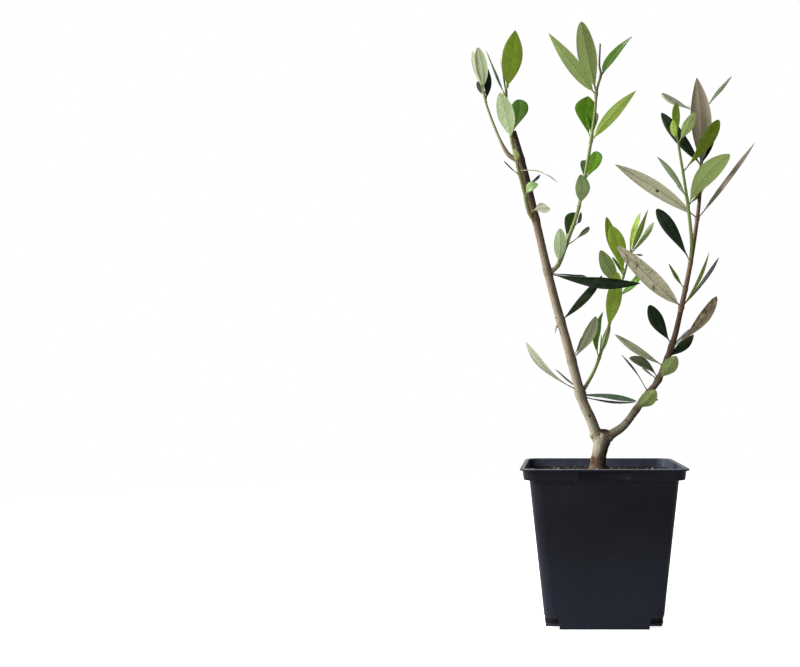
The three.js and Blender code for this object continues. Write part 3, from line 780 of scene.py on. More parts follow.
# Painted shade on the bark's right side, with darker bark there.
SHADED_SIDE_BARK = (0.03, 0.02, 0.01)
BARK_STREAK = (0.13, 0.09, 0.06)
BARK_FISSURE = (0.06, 0.04, 0.028)
BARK_SPECK = (0.45, 0.4, 0.32)
BARK_NODE = (0.05, 0.03, 0.02)
BARK_SCAR = (0.03, 0.018, 0.012)
CUT_RIM = (0.12, 0.045, 0.026)
CUT_WOOD = (0.022, 0.012, 0.009)
SHOOT_MOTTLE = (0.17, 0.21, 0.06)
SHOOT_SPECK = (0.36, 0.37, 0.22)
UPPER_STALK = (0.16, 0.2, 0.06)
UNDER_STALK = (0.17, 0.2, 0.07)
OLD_RIB = (0.11, 0.08, 0.05)
LEAF_FLECK = (0.09, 0.05, 0.026)
LEAF_TAN = (0.3, 0.24, 0.13)
LEAF_ROT = (0.03, 0.018, 0.012)
LEAF_BLOT = (0.02, 0.014, 0.01)


def toned(colour, share, more=0.0):
    """A colour made darker or paler."""
    return tuple(min(c * share + more, 1) for c in colour)


def plastic_material(colour):
    """Black plastic, paler towards its foot with painted light bounced from the floor, scuffed
    inside with a painted sheen, and worn along its rim with a painted highlight.
    """
    paint = Painter("Nursery_pot_black_plastic", colour, 0.4, Specular_IOR_Level=0.08)
    mottle = paint.noise(0.09, 6, roughness=0.7)
    height = paint.height()
    pale = (colour[0] * 2 + 0.006, colour[1] * 2.1 + 0.008, colour[2] * 2.3 + 0.015)
    # Paler towards the foot: painted light bounced up from the floor.
    paint.layer(paint.span(height, *FLOOR_BOUNCE_HEIGHTS), pale, 0.75)
    paint.layer(paint.span(paint.noise(0.018, 3), 0.4, 0.75, 0, 0.3), pale)
    paint.layer(paint.spots(0.11, 0.06), WATER_SPOT, 0.35)
    # Paler bluish inner walls: scuffs with a painted sheen of light.
    scuffs_and_sheen = paint.times(paint.attribute("inside"), paint.span(mottle, 0.25, 0.6, 0.5, 1))
    paint.layer(scuffs_and_sheen, INNER_SCUFF_AND_SHEEN)
    # A pale patchy line along the rim's top: wear with a painted highlight.
    at_rim = paint.span(height, *RIM_HIGHLIGHT_HEIGHTS)
    paint.layer(paint.times(at_rim, paint.span(mottle, 0.2, 0.5)), RIM_WEAR_AND_HIGHLIGHT, 0.8)
    paint.roughness(paint.span(mottle, 0.3, 0.75, 0.34, 0.5))
    paint.bump(paint.noise(1.6, 3), 0.02, 0.5)
    return paint.finished()


def soil_material(name, colour, dark):
    """Crumbly soil with pale fibres, and painted shade that darkens it low down in the pot."""
    paint = Painter(name, colour, 0.95, Specular_IOR_Level=0.2)
    clods = paint.noise(0.35, 8, roughness=0.7)
    paint.shade = dark
    paint.layer(paint.span(clods, 0.35, 0.65), colour)
    fibre = paint.noise(1.5, 4, stretch=(1, 0.3, 1))
    paint.layer(paint.span(fibre, 0.66, 0.74, 0, 0.7), ROOT_FIBRE)
    # Darker low down: painted shade deep inside the pot.
    paint.layer(paint.span(paint.height(), *SOIL_SHADE_HEIGHTS), SOIL_PAINTED_SHADE)
    paint.roughness(paint.span(clods, 0.3, 0.7, 0.75, 1))
    paint.bump(paint.noise(1.1, 8, roughness=0.75), 0.6, 0.8)
    return paint.finished()


def crumb_material(name, colour, dark, pale, grain, relief, depth):
    """A grain or a chip in two tones; grain and relief are scale and detail."""
    paint = Painter(name, colour, 0.9)
    paint.shade = dark
    paint.layer(paint.noise(*grain), pale)
    paint.bump(paint.noise(*relief), depth)
    return paint.finished()


def bark_material(pale, brown):
    """Pale grey bark on old wood that turns to red-brown on young wood."""
    paint = Painter("Olive_bark", pale, 0.82, Specular_IOR_Level=0.3)
    youth = paint.attribute("youth")
    patches = paint.noise(0.07, 4, roughness=0.6)
    streaks = paint.noise(0.5, 5, stretch=(1, 1, 0.14), roughness=0.6)
    fissures = paint.noise(1.1, 6, stretch=(1, 1, 0.3), roughness=0.65)
    specks = paint.spots(0.45, 0.2)
    height = paint.height()
    green = (pale[0] * 0.62, pale[1] * 0.68, pale[2] * 0.5)
    paint.layer(paint.span(patches, 0.45, 0.7, 0, 0.6), green)
    paint.layer(youth, brown)
    # Darker still where the youth passes 1.
    paint.layer(paint.span(youth, 0.95, 1.15), toned(brown, 0.4))
    foot = paint.span(paint.plus(height, paint.times(streaks, MUD_WAVER)), *MUD_HEIGHTS)
    paint.layer(foot, MUDDY_FOOT, 0.93)
    # Darker on the right side, away from the key light: painted shade, with darker bark there.
    paint.layer(paint.attribute("damp"), SHADED_SIDE_BARK, 0.9)
    paint.layer(paint.span(streaks, 0.52, 0.7, 0, 0.45), BARK_STREAK)
    paint.layer(paint.span(fissures, 0.42, 0.3, 0, 0.7), BARK_FISSURE)
    paint.layer(specks, BARK_SPECK, 0.4)
    paint.layer(paint.attribute("node"), BARK_NODE, 0.6)
    cut = paint.mix(paint.span(height, *CUT_HEIGHTS), CUT_RIM, CUT_WOOD)
    paint.layer(paint.attribute("cut"), cut)
    paint.layer(paint.attribute("scar"), BARK_SCAR)
    paint.roughness(paint.span(fissures, 0.3, 0.7, 0.92, 0.66))
    relief = paint.plus(paint.times(fissures, 0.6), streaks)
    paint.bump(paint.plus(relief, paint.times(specks, 0.2)), 0.3, 0.7)
    return paint.finished()


def shoot_material(green, brown):
    """Soft green stems that turn brown towards their foot."""
    paint = Painter("Olive_green_shoot", green, 0.55, Specular_IOR_Level=0.4)
    paint.layer(paint.span(paint.noise(0.5, 5), 0.3, 0.75, 0, 0.5), SHOOT_MOTTLE)
    paint.layer(paint.attribute("wood"), brown)
    paint.layer(paint.spots(1.1, 0.24), SHOOT_SPECK, 0.2)
    paint.bump(paint.noise(2.2, 4, stretch=(1, 1, 0.4)), 0.12, 0.6)
    return paint.finished()


def leaf_pattern(paint):
    """The distances from the rib and along it, and veins that slant to the tip."""
    rib = paint.math("ABSOLUTE", paint.attribute("rib_mm"))
    along = paint.attribute("along_mm")
    slant = paint.minus(along, paint.times(rib, VEIN_SLANT))
    wobble = paint.times(paint.noise(0.2, 2), VEIN_WOBBLE)
    phase = paint.times(paint.plus(slant, wobble), VEIN_FINENESS)
    return rib, along, paint.math("SINE", phase)


def paint_stalk(paint, colour):
    """Colours the leaf's stalk, where its blade has run out."""
    paint.layer(paint.span(paint.attribute("blade"), *STALK_END), colour)


def upper_leaf_material(tone, colour):
    """Glossy upper face with a fine rib, faint side veins and mottled green."""
    old = tone in OLD_TONES
    rough, specular = (0.5, 0.08) if old else (0.4, 0.22)
    paint = Painter(f"Leaf_{tone}_upper", colour, rough, Specular_IOR_Level=specular)
    rib, _, vein = leaf_pattern(paint)
    pale, deep = toned(colour, 1.5, 0.02), toned(colour, 0.6)
    cloud = paint.noise(0.14, 4)
    paint.shade = deep
    paint.layer(paint.attribute("tint"), colour)
    paint.layer(paint.span(cloud, 0.4, 0.75, 0, 0.4), pale)
    paint.layer(paint.span(vein, 0.8, 1, 0, 0.1), pale)
    paint.layer(paint.span(rib, 0.42, 0.12, 0, 0.45), pale if old else deep)
    paint_stalk(paint, UPPER_STALK)
    paint.roughness(paint.span(cloud, 0.3, 0.7, rough - 0.06, rough + 0.12))
    return paint.finished()


def paint_blemishes(paint, along):
    """Brown flecks, tan patches with dark rot in them, and one round blot."""
    patch = paint.plus(paint.noise(0.16, 3), paint.attribute("blemish"))
    flecks = paint.times(paint.spots(0.42, 0.36), paint.span(patch, *FLECKED))
    paint.layer(flecks, LEAF_FLECK, 0.8)
    tan = paint.span(patch, *TANNED, 0, 0.75)
    paint.layer(tan, LEAF_TAN)
    rot = paint.times(paint.span(paint.noise(0.3, 3), 0.51, 0.56), tan)
    paint.layer(rot, LEAF_ROT, 1.2)
    ahead = paint.minus(along, paint.attribute("blot_at"))
    aside = paint.minus(paint.attribute("rib_mm"), 1)
    squares = paint.times_plus(aside, aside, paint.times(ahead, ahead))
    paint.layer(paint.span(paint.math("SQRT", squares), 1.6, 0.9), LEAF_BLOT)


def under_leaf_material(tone, colour):
    """Matt felted underside with a dark rib line; old leaves have brown spots."""
    spotted = tone in SPOTTED_TONES
    paint = Painter(f"Leaf_{tone}_under", colour, 0.85, Specular_IOR_Level=0.12)
    rib, along, vein = leaf_pattern(paint)
    pale, deep = toned(colour, 1.18, 0.015), toned(colour, 0.66)
    paint.shade = deep
    paint.layer(paint.span(paint.noise(0.3, 3), 0.3, 0.7, 0.6, 1), colour)
    paint.layer(paint.attribute("tint"), pale, 0.6)
    paint.layer(paint.span(vein, 0.6, 1, 0, 0.06), deep)
    if spotted:
        paint_blemishes(paint, along)
    paint.layer(paint.span(rib, 0.5, 0.16, 0, 0.7), OLD_RIB if spotted else deep)
    paint_stalk(paint, UNDER_STALK)
    return paint.finished()


# Pot.


def square_ring(half, z, inset=0.0):
    """A ring of points round a square with round corners."""
    corner = CORNER_SHARE * half - inset
    reach = half - inset - corner
    ring = []
    for side in range(4):
        start = side * math.pi / 2
        cx = math.copysign(reach, math.cos(start + math.pi / 4))
        cy = math.copysign(reach, math.sin(start + math.pi / 4))
        for k in range(CORNER_STEPS + 1):
            angle = start + k / CORNER_STEPS * math.pi / 2
            ring.append((cx + corner * math.cos(angle), cy + corner * math.sin(angle), z))
    return np.array(ring)


def body_half(z):
    """Half the body's width at a height."""
    return BODY_FOOT_HALF + (BODY_TOP_HALF - BODY_FOOT_HALF) * z / BAND_FOOT_Z


def filleted(profile, radius):
    """A profile of (half width, z) with each inner corner rounded off."""
    corners = [np.array(p, float) for p in profile]
    rounded = [corners[0]]
    for before, corner, after in zip(corners, corners[1:], corners[2:]):
        into, out = before - corner, after - corner
        reach = min(radius, np.linalg.norm(into) * 0.45, np.linalg.norm(out) * 0.45)
        first = corner + into / np.linalg.norm(into) * reach
        last = corner + out / np.linalg.norm(out) * reach
        for t in np.linspace(0, 1, FILLET_STEPS + 1):
            rounded.append((1 - t) ** 2 * first + 2 * t * (1 - t) * corner + t**2 * last)
    rounded.append(corners[-1])
    return rounded


def square_solid(profile, radius, inset=0.0):
    """A square solid with round corners from its filleted profile."""
    return loft([square_ring(half, z, inset) for half, z in filleted(profile, radius)])


def box_solid(x0, x1, y0, y1, z0, z1):
    """A plain box between its lowest and highest corners."""
    corners = [(x0, y0), (x1, y0), (x1, y1), (x0, y1)]
    return loft([np.array([(x, y, z) for x, y in corners]) for z in (z0, z1)])


def panel_solid(turn):
    """A shallow recess cutter with sloped sides for one side of the band."""
    low, high = BAND_FOOT_Z + PANEL_FOOT_GAP, POT_HEIGHT - RIM_THICKNESS - PANEL_TOP_GAP
    inner = BAND_FOOT_HALF - PANEL_DEPTH
    wide = (PANEL_HALF + PANEL_SLOPE, low - PANEL_SLOPE, high + PANEL_SLOPE / 2)
    rings = []
    for depth, (half, z0, z1) in (
        (inner, (PANEL_HALF, low, high)),
        (inner + 2 * PANEL_DEPTH, wide),
        (RIM_HALF, wide),
    ):
        corners = [(-half, z0), (half, z0), (half, z1), (-half, z1)]
        rings.append(np.array([(x, -depth, z) for x, z in corners]))
    points, faces = loft(rings)
    c, s = round(math.cos(turn)), round(math.sin(turn))
    x, y, z = points.T
    return np.column_stack([c * x - s * y, s * x + c * y, z]), faces


def solid_object(name, solid):
    """An object from a solid in millimetres, with its faces turned outwards."""
    points, faces = solid
    mesh = mesh_from(name, points * MM, faces)
    mesh.calc_loop_triangles()
    volume = 0
    for triangle in mesh.loop_triangles:
        a, b, c = (mesh.vertices[i].co for i in triangle.vertices)
        volume += a.dot(b.cross(c))
    if volume < 0:
        mesh.flip_normals()
    return as_object(name, mesh)


def combined(base, tool, operation):
    """One exact Boolean step. Both objects are used up."""
    name = base.name
    modifier = base.modifiers.new("Step", "BOOLEAN")
    modifier.operation = operation
    modifier.object = tool
    modifier.solver = "EXACT"
    mesh = evaluated(base, name)
    bpy.data.objects.remove(tool)
    return as_object(name, mesh)


def outer_profile():
    """Half width and height along the pot's outside, from its foot to its rim."""
    rim_foot = POT_HEIGHT - RIM_THICKNESS
    return [
        (BODY_FOOT_HALF - 4, 0),
        (BODY_FOOT_HALF, 0),
        (body_half(LINE_FOOT_Z), LINE_FOOT_Z),
        (body_half(LINE_WIDE_Z) + LINE_OUT, LINE_TOP_Z),
        (BODY_TOP_HALF, BAND_FOOT_Z),
        (BAND_FOOT_HALF, BAND_FOOT_Z),
        (BAND_TOP_HALF, rim_foot),
        (RIM_HALF, rim_foot),
        (RIM_HALF, POT_HEIGHT),
        (RIM_HALF - 2, POT_HEIGHT),
    ]


def inner_profile():
    """The same for the hollow, before its wall's thickness is taken off."""
    ledge = BAND_FOOT_Z + WALL
    return [
        (body_half(FLOOR) - 3, FLOOR),
        (body_half(FLOOR), FLOOR),
        (BODY_TOP_HALF, BAND_FOOT_Z),
        (BODY_TOP_HALF, ledge),
        (BAND_FOOT_HALF, ledge),
        (BAND_TOP_HALF, POT_HEIGHT - LIP_ROUND),
        (BAND_TOP_HALF + LIP_ROUND, POT_HEIGHT + LIP_ROUND),
    ]


def build_pot(settings):
    """The square pot: a hollow body on a raised cross-shaped foot."""
    raised = FOOT_RISE + FLOOR
    far = RIM_HALF + 1
    bar = FOOT_HALF - FLOOR

    def box(name, *bounds):
        return solid_object(name, box_solid(*bounds))

    pot = solid_object("pot_work", square_solid(outer_profile(), OUTER_FILLET))
    hollow, low_hollow = (
        solid_object(name, square_solid(inner_profile(), INNER_FILLET, WALL))
        for name in ("hollow", "low_hollow")
    )
    hollow = combined(hollow, box("under", -far, far, -far, far, -1, raised), "DIFFERENCE")
    cross = combined(
        box("bar_x", -far, far, -bar, bar, 0, raised + 0.5),
        box("bar_y", -bar, bar, -far, far, 0, raised + 0.5),
        "UNION",
    )
    low_hollow = combined(low_hollow, cross, "INTERSECT")
    cutters = [hollow, low_hollow]
    steps = ((FOOT_HALF, -1, FOOT_RISE), (FOOT_HALF + 1, raised, raised + DRAIN_HEIGHT))
    for sx in (-1, 1):
        for sy in (-1, 1):
            for start, z0, z1 in steps:
                xs = sorted((sx * start, sx * far))
                ys = sorted((sy * start, sy * far))
                cutters.append(box("corner", *xs, *ys, z0, z1))
    for k in range(4):
        cutters.append(solid_object("panel", panel_solid(k * math.pi / 2)))
    for cutter in cutters:
        pot = combined(pot, cutter, "DIFFERENCE")
    mesh = pot.data
    bpy.data.objects.remove(pot)
    sharpen(mesh, SHARP_ANGLE)
    inside = [
        float(p.normal.x * p.center.x + p.normal.y * p.center.y < 0 and abs(p.normal.z) < 0.5)
        for p in mesh.polygons
    ]
    layer_on(mesh, "inside", inside, domain="FACE")
    finish_with(mesh, plastic_material(tuple(settings.plastic_colour)))
    place("nursery_pot", mesh, "pot_plastic", "pot")


# Soil.


def soil_height(x, y):
    """How high the soil stands: a low edge, lumps, clods and a heap."""
    half = max(abs(x), abs(y))
    low = np.interp(half, *SOIL_PROFILE)
    lumps = noise.fractal(Vector((x * LUMP_FINENESS, y * LUMP_FINENESS, 3.0)), 1.0, 2.0, 4)
    clods = noise.fractal(Vector((x * CLOD_FINENESS, y * CLOD_FINENESS, 9.0)), 0.8, 2.0, 3)
    inside = float(np.clip((SOIL_HALF - half) / SOIL_EDGE, 0, 1))
    off = (x - HEAP_CENTRE[0]) ** 2 + (y - HEAP_CENTRE[1]) ** 2
    heap = HEAP_HEIGHT * math.exp(-off / HEAP_REACH**2)
    return low + inside * (heap + LUMP_HEIGHT * lumps + CLOD_HEIGHT * clods)


def build_soil(settings):
    """The soil's crust over its CAD solid, and the crumbs on it."""
    rings = []
    for half in np.linspace(SOIL_START, SOIL_HALF, SOIL_RINGS):
        outline = square_ring(half, 0.0)
        closed = np.vstack([outline, outline[:1]])
        distances = distances_along(closed)
        marks = np.linspace(0, distances[-1], SOIL_SIDES, endpoint=False)
        ring = points_at(closed, distances, marks)
        for point in ring:
            point[2] = soil_height(point[0], point[1])
        rings.append(ring)
    foot = rings[-1].copy()
    foot[:, 2] = SOIL_FOOT_Z
    points, faces = loft([foot] + rings[::-1])
    mesh = mesh_from("soil_crust", points * MM, faces)
    colour = tuple(settings.soil_colour)
    crust = soil_material("Potting_soil", colour, toned(colour, 0.3))
    mesh.materials.append(crust)
    place("soil_crust", mesh, "soil")
    finish_with(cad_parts["soil"].data, crust)
    grow_crumbs(mesh, crust)


# Crumbs, in metres: a few are chips of bark and fewer are pale grains. The
# seeds are for where they lie, how they turn and how large they are.
CRUMB_SEED = 11
CRUMB_TURN_SEED = 3
CRUMB_SIZE_SEED = 5
CRUMB_SHAPE = (1.3, 0.85, 0.5)
SMALL_CRUMB_POWER = 2.6
CRUMB_DENT_SCALE = 750.0
CRUMB_DENTS = 0.0024
CRUMB_SHUFFLE = 40
CHIP_SHARE = 0.3
GRAIN_SHARE = 0.05
CRUMB_LEAST_UP = 0.4

# The two other kinds of crumb: flat colour, dark and pale tone, scale and
# detail of the grain and of the relief, and the relief's depth.
PALE_GRAIN = (
    "Pale_grain", (0.42, 0.36, 0.29),
    (0.16, 0.11, 0.08), (0.4, 0.34, 0.28), (1.2, 4), (2.5, 4), 0.2,
)
BARK_CHIP = (
    "Bark_crumb", (0.08, 0.045, 0.03),
    (0.008, 0.006, 0.005), (0.06, 0.039, 0.028), (0.9, 5), (2, 5), 0.3,
)


def grow_crumbs(crust_mesh, crust):
    """Crumbs, chips and pale grains scattered on the soil by one tree."""
    grain, chip = crumb_material(*PALE_GRAIN), crumb_material(*BARK_CHIP)
    inputs = [
        ("Crumbs per square metre", "Float", 90000.0),
        ("Least size", "Float", 0.0005),
        ("Most size", "Float", 0.0021),
        ("Seed", "Int", CRUMB_SEED),
        ("Crumb material", "Material", crust),
        ("Bark crumb material", "Material", chip),
        ("Grain material", "Material", grain),
    ]
    tree = TreeMaker("Soil_crumbs", inputs)
    normal = tree.add("GeometryNodeInputNormal").outputs["Normal"]
    up = tree.add("ShaderNodeSeparateXYZ", Vector=normal).outputs["Z"]
    scatter = tree.add(
        "GeometryNodeDistributePointsOnFaces",
        {"distribute_method": "RANDOM"},
        Mesh=tree.value("Geometry"),
        Selection=tree.math("GREATER_THAN", up, CRUMB_LEAST_UP),
        Density=tree.value("Crumbs per square metre"),
        Seed=tree.value("Seed"),
    )

    def random(kind, **feeds):
        node = tree.add("FunctionNodeRandomValue", {"data_type": kind}, **feeds)
        return next(s for s in node.outputs if s.enabled)

    ball = tree.add("GeometryNodeMeshIcoSphere", Radius=1.0, Subdivisions=2)
    turn = random("FLOAT_VECTOR", Max=(FULL_TURN,) * 3, Seed=CRUMB_TURN_SEED)
    share = random("FLOAT", Min=0.0, Max=1.0, Seed=CRUMB_SIZE_SEED)
    least = tree.value("Least size")
    spread = tree.minus(tree.value("Most size"), least)
    scale = tree.times_plus(tree.math("POWER", share, SMALL_CRUMB_POWER), spread, least)
    instances = tree.add(
        "GeometryNodeInstanceOnPoints",
        Points=scatter.outputs["Points"],
        Instance=ball.outputs["Mesh"],
        Rotation=turn,
        Scale=tree.scaled(CRUMB_SHAPE, scale),
    )
    stored = tree.store(instances.outputs["Instances"], "crumb", share, "INSTANCE")
    solid = tree.step("GeometryNodeRealizeInstances", stored)
    position = tree.add("GeometryNodeInputPosition").outputs["Position"]
    settings = {"noise_dimensions": "3D"}
    feeds = {"Scale": CRUMB_DENT_SCALE, "Detail": 3.0}
    rough = tree.add("ShaderNodeTexNoise", settings, Vector=position, **feeds).outputs["Color"]
    dents = tree.scaled(tree.vector("SUBTRACT", rough, (0.5, 0.5, 0.5)), CRUMB_DENTS)
    solid = tree.step("GeometryNodeSetPosition", solid, Offset=dents)
    solid = tree.paint(solid, tree.value("Crumb material"))
    kind = tree.math("MODULO", tree.times(tree.attribute("crumb"), CRUMB_SHUFFLE), 1)
    for label, most in (("Bark crumb material", CHIP_SHARE), ("Grain material", GRAIN_SHARE)):
        solid = tree.paint(solid, tree.value(label), tree.math("LESS_THAN", kind, most))
    tree.finish(solid)
    mesh = tree.grow("soil_crumbs", crust_mesh.copy(), Seed=CRUMB_SEED)
    trim_materials(mesh)
    place("soil_crumbs", mesh, "soil")


# Bark.


def smoothed(mesh, rounds):
    """A dense mesh's points, each moved halfway to its neighbours' middle."""
    count = len(mesh.vertices)
    points = np.empty(count * 3)
    mesh.vertices.foreach_get("co", points)
    points = points.reshape(-1, 3)
    edges = np.empty(len(mesh.edges) * 2, int)
    mesh.edges.foreach_get("vertices", edges)
    edges = edges.reshape(-1, 2)
    degree = np.bincount(edges.ravel(), minlength=count)[:, None]
    for _ in range(rounds):
        total = np.zeros_like(points)
        np.add.at(total, edges[:, 0], points[edges[:, 1]])
        np.add.at(total, edges[:, 1], points[edges[:, 0]])
        points = points * 0.5 + total / degree * 0.5
    return points


KNOB_RINGS, KNOB_SIDES = 10, 16


def knob_solid(centre, radii):
    """A rounded swelling of the wood."""
    angles = np.linspace(0, 2 * math.pi, KNOB_SIDES, endpoint=False)
    levels = []
    for k in range(1, KNOB_RINGS):
        polar = math.pi * k / KNOB_RINGS
        xs = centre[0] + radii[0] * math.sin(polar) * np.cos(angles)
        ys = centre[1] + radii[1] * math.sin(polar) * np.sin(angles)
        zs = np.full(KNOB_SIDES, centre[2] - radii[2] * math.cos(polar))
        levels.append(np.column_stack([xs, ys, zs]))
    return loft(levels)


# Swellings by their middle and radii, scars by their middle, and the pruned
# stub and two dry spurs by stations of x, y, z and radius.
KNOBS = [
    ((-7.4, -1.5, 148.6), (2.6, 3.0, 3.4)),
    ((7.6, -2.0, 145.6), (2.4, 2.8, 2.6)),
    ((-7.2, -2.5, 127.5), (2.2, 3.2, 5.0)),
]
SCARS = [(-9.4, -5.2, 164.6), (21.2, -1.4, 160.8)]
PRUNED_STUB = [(1.6, 1.6, 141, 6.2), (2.2, 0.4, 147, 5.7), (3.1, -2.2, 151.6, 4.9)]
CUT_RADIUS = 4.2
CUT_REACH = 1.3
CUT_DEPTH = 0.7
DRY_SPURS = [
    [(-35, -8, 249, 1.3), (-37.4, -9, 248, 1.1), (-39.2, -9.6, 246.2, 0.7)],
    [(-34.6, -8, 242, 1.2), (-37.6, -9, 239.6, 0.9), (-38.6, -9.6, 233.6, 0.6)],
]
LIMB_STEP, STUB_STEP = 1.6, 0.8
LIMB_SIDES, SPUR_SIDES = 28, 12
BARK_OVERLAP = 1.5

# Nodes without a leaf on the left bough, and how a node swells and is marked.
BARE_NODES = [44.5, 150.5, 193, 246]
NODE_SWELL = 0.4
NODE_REACH = 2.6
NODE_MARK_REACH = 1.6

# Relief: how deep the ridges are on the trunk and on the boughs, how fine they
# are round a limb and along it, and the grain and the scars.
TRUNK_RIDGE, BOUGH_RIDGE = 0.42, 0.16
RIDGES_ROUND, RIDGES_ALONG = 1.7, 0.06
LIMB_SHIFT = 7.3
GRAIN_FINENESS, GRAIN_RELIEF = 0.8, 0.08
SCAR_REACH, SCAR_DEPTH, SCAR_DARKNESS = 1.1, 0.9, 1.4

# Where each bough's bark turns from old to young, measured along it; past 1 it turns darker still.
LEFT_YOUTH = ([0, 60, 110, 175, 215], [0, 0.22, 0.4, 0.65, 1.15])
RIGHT_YOUTH = ([0, 28, 60, 88, 98, 134], [0, 0.2, 0.75, 0.85, 1.07, 1.1])
TRUNK_YOUTH = ([0], [0])

# How dark the painted shade on the right side of the trunk, the left and the right
# bough is, with darker bark there; how far it comes round, how soon it ends, and
# how much the ridges move its edge.
SHADED_SIDE_DARKNESS = (1.0, 0.8, 0.95)
SHADED_SIDE_WIDTH = 0.35
SHADED_SIDE_CONTRAST = 1.15
SHADED_SIDE_WAVER = 0.3


def bark_solids():
    """The solids that the bark is fused from, and what lies along each limb."""
    left_nodes = [row[1] for row in LEFT_BOUGH_LEAVES] + BARE_NODES
    right_nodes = [row[1] for row in RIGHT_BOUGH_LEAVES]
    limbs = [
        (TRUNK, None, TRUNK_YOUTH, []),
        (LEFT_STEM, None, LEFT_YOUTH, left_nodes),
        (RIGHT_STEM, RIGHT_BOUGH_END + BARK_OVERLAP, RIGHT_YOUTH, right_nodes),
    ]
    solids, samples = [], []
    for index, (stations, end, youth, nodes) in enumerate(limbs):
        points, radii, alongs = resampled(strand(stations), LIMB_STEP, 0, end)
        marks = np.zeros(len(alongs))
        for node in nodes:
            radii = radii + NODE_SWELL * bell(alongs - node, NODE_REACH)
            marks = np.maximum(marks, bell(alongs - node, NODE_MARK_REACH))
        solids.append(tube((points, radii, alongs), LIMB_SIDES))
        for row in zip(points, alongs, np.interp(alongs, *youth), marks):
            samples.append((index, *row))
    return solids, samples


def build_bark(settings):
    """One carved skin over the trunk, both boughs, the pruned stub and spurs."""
    solids, samples = bark_solids()
    stub = resampled(strand(PRUNED_STUB), STUB_STEP)
    solids.append(tube(stub, LIMB_SIDES))
    solids += [tube(strand(spur), SPUR_SIDES) for spur in DRY_SPURS]
    solids += [knob_solid(centre, radii) for centre, radii in KNOBS]
    vertices, faces = joined(solids)
    piece = as_object("bark_work", mesh_from("bark_work", vertices * MM, faces))
    remesh = piece.modifiers.new("Fuse", "REMESH")
    remesh.mode = "VOXEL"
    remesh.voxel_size = settings.bark_voxel
    mesh = evaluated(piece, "bark")
    tree = kdtree.KDTree(len(samples))
    for i, sample in enumerate(samples):
        tree.insert(Vector(sample[1]), i)
    tree.balance()
    cut_centre = Vector(stub[0][-1])
    cut_normal = Vector(stub[0][-1] - stub[0][-2]).normalized()
    moved = []
    layers = {"youth": [], "node": [], "cut": [], "scar": [], "damp": []}
    for point in smoothed(mesh, 2) / MM:
        here = Vector(point)
        axis, i, _ = tree.find(here)
        index, _, along, youth, mark = samples[i]
        out = (here - axis).normalized()
        round_limb = (out.x * RIDGES_ROUND, out.y * RIDGES_ROUND)
        stretched = Vector((*round_limb, along * RIDGES_ALONG + index * LIMB_SHIFT))
        ridge = noise.fractal(stretched, 0.9, 2.0, 4)
        grain = noise.fractal(here * GRAIN_FINENESS, 0.8, 2.1, 3)
        scar = max(bell((here - Vector(s)).length, SCAR_REACH) for s in SCARS)
        relief = TRUNK_RIDGE if index == 0 else BOUGH_RIDGE
        offset = relief * ridge + GRAIN_RELIEF * grain - SCAR_DEPTH * scar
        height = (here - cut_centre).dot(cut_normal)
        across = (here - cut_centre - cut_normal * height).length
        cut = float(abs(height) < CUT_REACH and across < CUT_RADIUS)
        if cut:
            bowl = CUT_DEPTH * (1 - (across / CUT_RADIUS) ** 2)
            here = here - cut_normal * (height + bowl)
        else:
            here = here + out * offset
        moved.append(tuple(here))
        # The painted shade on the right side, with darker bark there; the ridges make its edge
        # waver.
        shaded_reach = (out.x + SHADED_SIDE_WIDTH) * SHADED_SIDE_CONTRAST + SHADED_SIDE_WAVER * ridge
        damp = SHADED_SIDE_DARKNESS[index] * min(1.0, max(0.0, shaded_reach))
        values = (youth, mark * youth, cut, min(1.0, scar * SCAR_DARKNESS), damp)
        for layer, value in zip(layers.values(), values):
            layer.append(value)
    mesh.vertices.foreach_set("co", (np.array(moved) * MM).ravel())
    for name, values in layers.items():
        layer_on(mesh, name, values)
    shade_smooth(mesh)
    old, young = tuple(settings.bark_colour), tuple(settings.young_bark_colour)
    finish_with(mesh, bark_material(old, young))
    mesh.update()
    place("trunk_and_boughs", mesh, "bark", "trunk", "left_bough", "right_bough")


# Shoots.

# How woody each shoot's stem is, from 0 for green to 1 for brown: shares of
# its length from the foot, and the woodiness there.
WOODINESS = {
    "right_crown": ([0, 1], [1, 0.85]),
    "outer_left_shoot": ([0, 0.2, 0.35, 1], [1, 0.8, 0.45, 0.4]),
    "left_tip_shoot": ([0, 0.4, 0.8, 1], [0.6, 0.5, 0.4, 0.8]),
    "middle_shoot": ([0, 0.15, 0.3, 0.74, 0.84, 0.9, 1], [0.7, 0.4, 0, 0, 0.5, 0.9, 0.9]),
    "centre_shoot": ([0, 0.1, 1], [0.4, 0, 0]),
    "green_shoot": ([0, 0.15, 1], [0.6, 0.1, 0]),
}

# Stems: their steps, and how they thicken round a leaf's joint.
SHOOT_STEP = 0.9
JOINT_SWELL = 0.28
JOINT_REACH = 1.5
JOINT_END = 6


